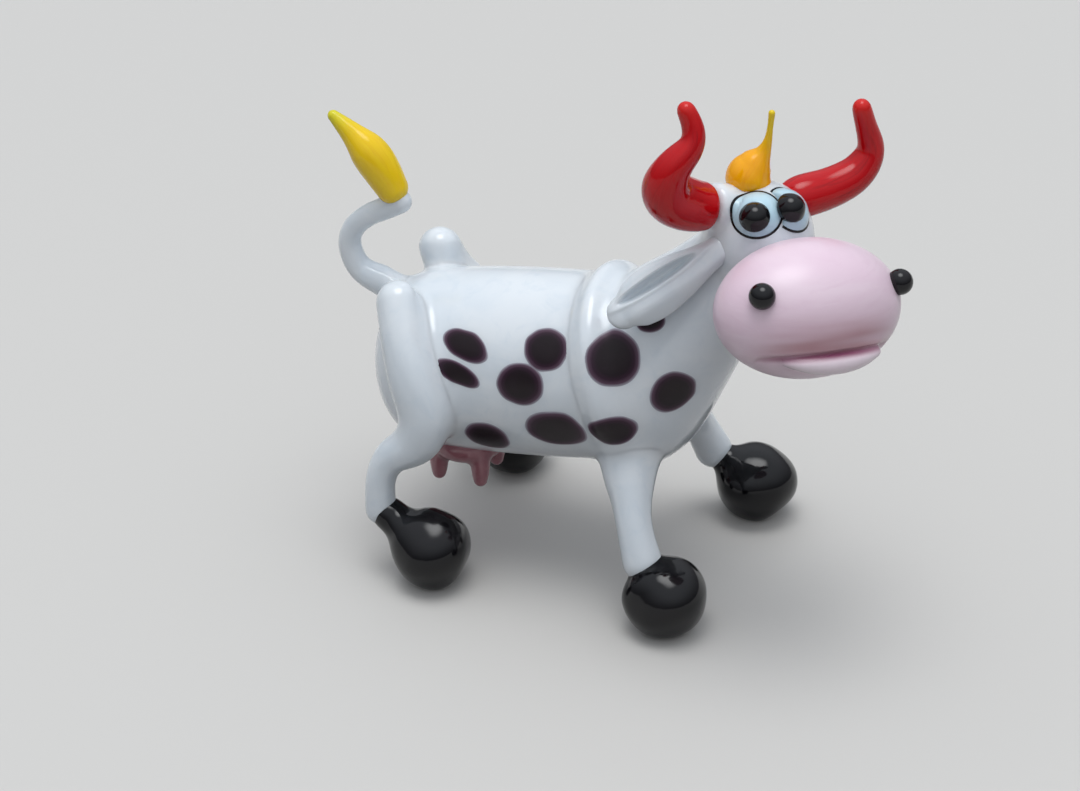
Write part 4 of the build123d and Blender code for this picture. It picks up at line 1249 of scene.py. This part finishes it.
# %% Floor, light and camera
FLOOR_HALF, FLOOR_ROUGHNESS = 1.5, 0.6
FLOOR_SEEN, FLOOR_BOUNCE = (0.54, 0.525, 0.50, 1), (0.24, 0.23, 0.22, 1)
SKY_LOW = (0.13, 0.13, 0.14, 1)
SKY_BANDS = (((0.84, 0.89, 0.96, 1), -0.1, 0.9), ((6.0, 6.1, 6.2, 1), 0.92, 1.0))
LAMPS = (("overhead", (-0.15, 0.10, 0.90), 1.00, 1.0, (1, 1, 1)),
         ("front", (0.30, -0.60, 0.40), 0.60, 0.35, (1.0, 0.98, 0.95)))
TARGET = Vector((-6.312, -0.019, 13.0)) * MM
AZIMUTH, ELEVATION, DISTANCE, LENS, SENSOR, NEAREST = 20.5, 30.0, 0.240, 100.0, 36.0, 0.01

corners = [(x * FLOOR_HALF, y * FLOOR_HALF, 0) for x, y in ((-1, -1), (1, -1), (1, 1), (-1, 1))]
floor = placed("floor", raw_mesh(corners, [(0, 1, 2, 3)]))
pale = bpy.data.materials.new("pale_floor")
pale_tree, pale_shader = principled(pale)
ray = pale_tree.nodes.new("ShaderNodeLightPath").outputs
seen = maths(pale_tree, "MAXIMUM", ray["Is Camera Ray"], ray["Is Glossy Ray"])
seen = maths(pale_tree, "MAXIMUM", seen, ray["Is Transmission Ray"])
pale_tree.links.new(mixed(pale_tree, seen, FLOOR_BOUNCE, FLOOR_SEEN), pale_shader.inputs["Base Color"])
pale_shader.inputs["Roughness"].default_value = FLOOR_ROUGHNESS
floor.data.materials.append(pale)

for name, place, size, power, colour in LAMPS:
    lamp = bpy.data.lights.new(name, "AREA")
    lamp.shape, lamp.size, lamp.energy, lamp.color = "DISK", size, power, colour
    softbox = placed(name, lamp)
    softbox.location = place
    softbox.rotation_euler = (TARGET - Vector(place)).to_track_quat("-Z", "Y").to_euler()
    softbox.visible_glossy = False

world = bpy.data.worlds.new("studio")
world.use_nodes = True
sky_tree = world.node_tree
where = sky_tree.nodes.new("ShaderNodeTexCoord").outputs["Generated"]
height = add(sky_tree, "ShaderNodeSeparateXYZ", Vector=where).outputs["Z"]
sky = SKY_LOW
for colour, low, high in SKY_BANDS:
    sky = mixed(sky_tree, soft_step(sky_tree, height, low, high), sky, colour)
sky_tree.links.new(sky, sky_tree.nodes["Background"].inputs[0])
bpy.context.scene.world = world

camera_data = bpy.data.cameras.new("camera")
camera_data.lens, camera_data.sensor_width, camera_data.clip_start = LENS, SENSOR, NEAREST
camera = placed("camera", camera_data)
azimuth, elevation = math.radians(AZIMUTH), math.radians(ELEVATION)
level = math.cos(elevation)
back = Vector((math.sin(azimuth) * level, -math.cos(azimuth) * level, math.sin(elevation)))
camera.location = TARGET + back * DISTANCE
camera.rotation_euler = (-back).to_track_quat("-Z", "Y").to_euler()
bpy.context.scene.camera = camera
bpy.context.scene.view_settings.view_transform = "Standard"
print("camera at", [round(c, 4) for c in camera.location])

# %% Sizes and finish
print("pieces:", len(COUNTS), "faces:", sum(COUNTS.values()))
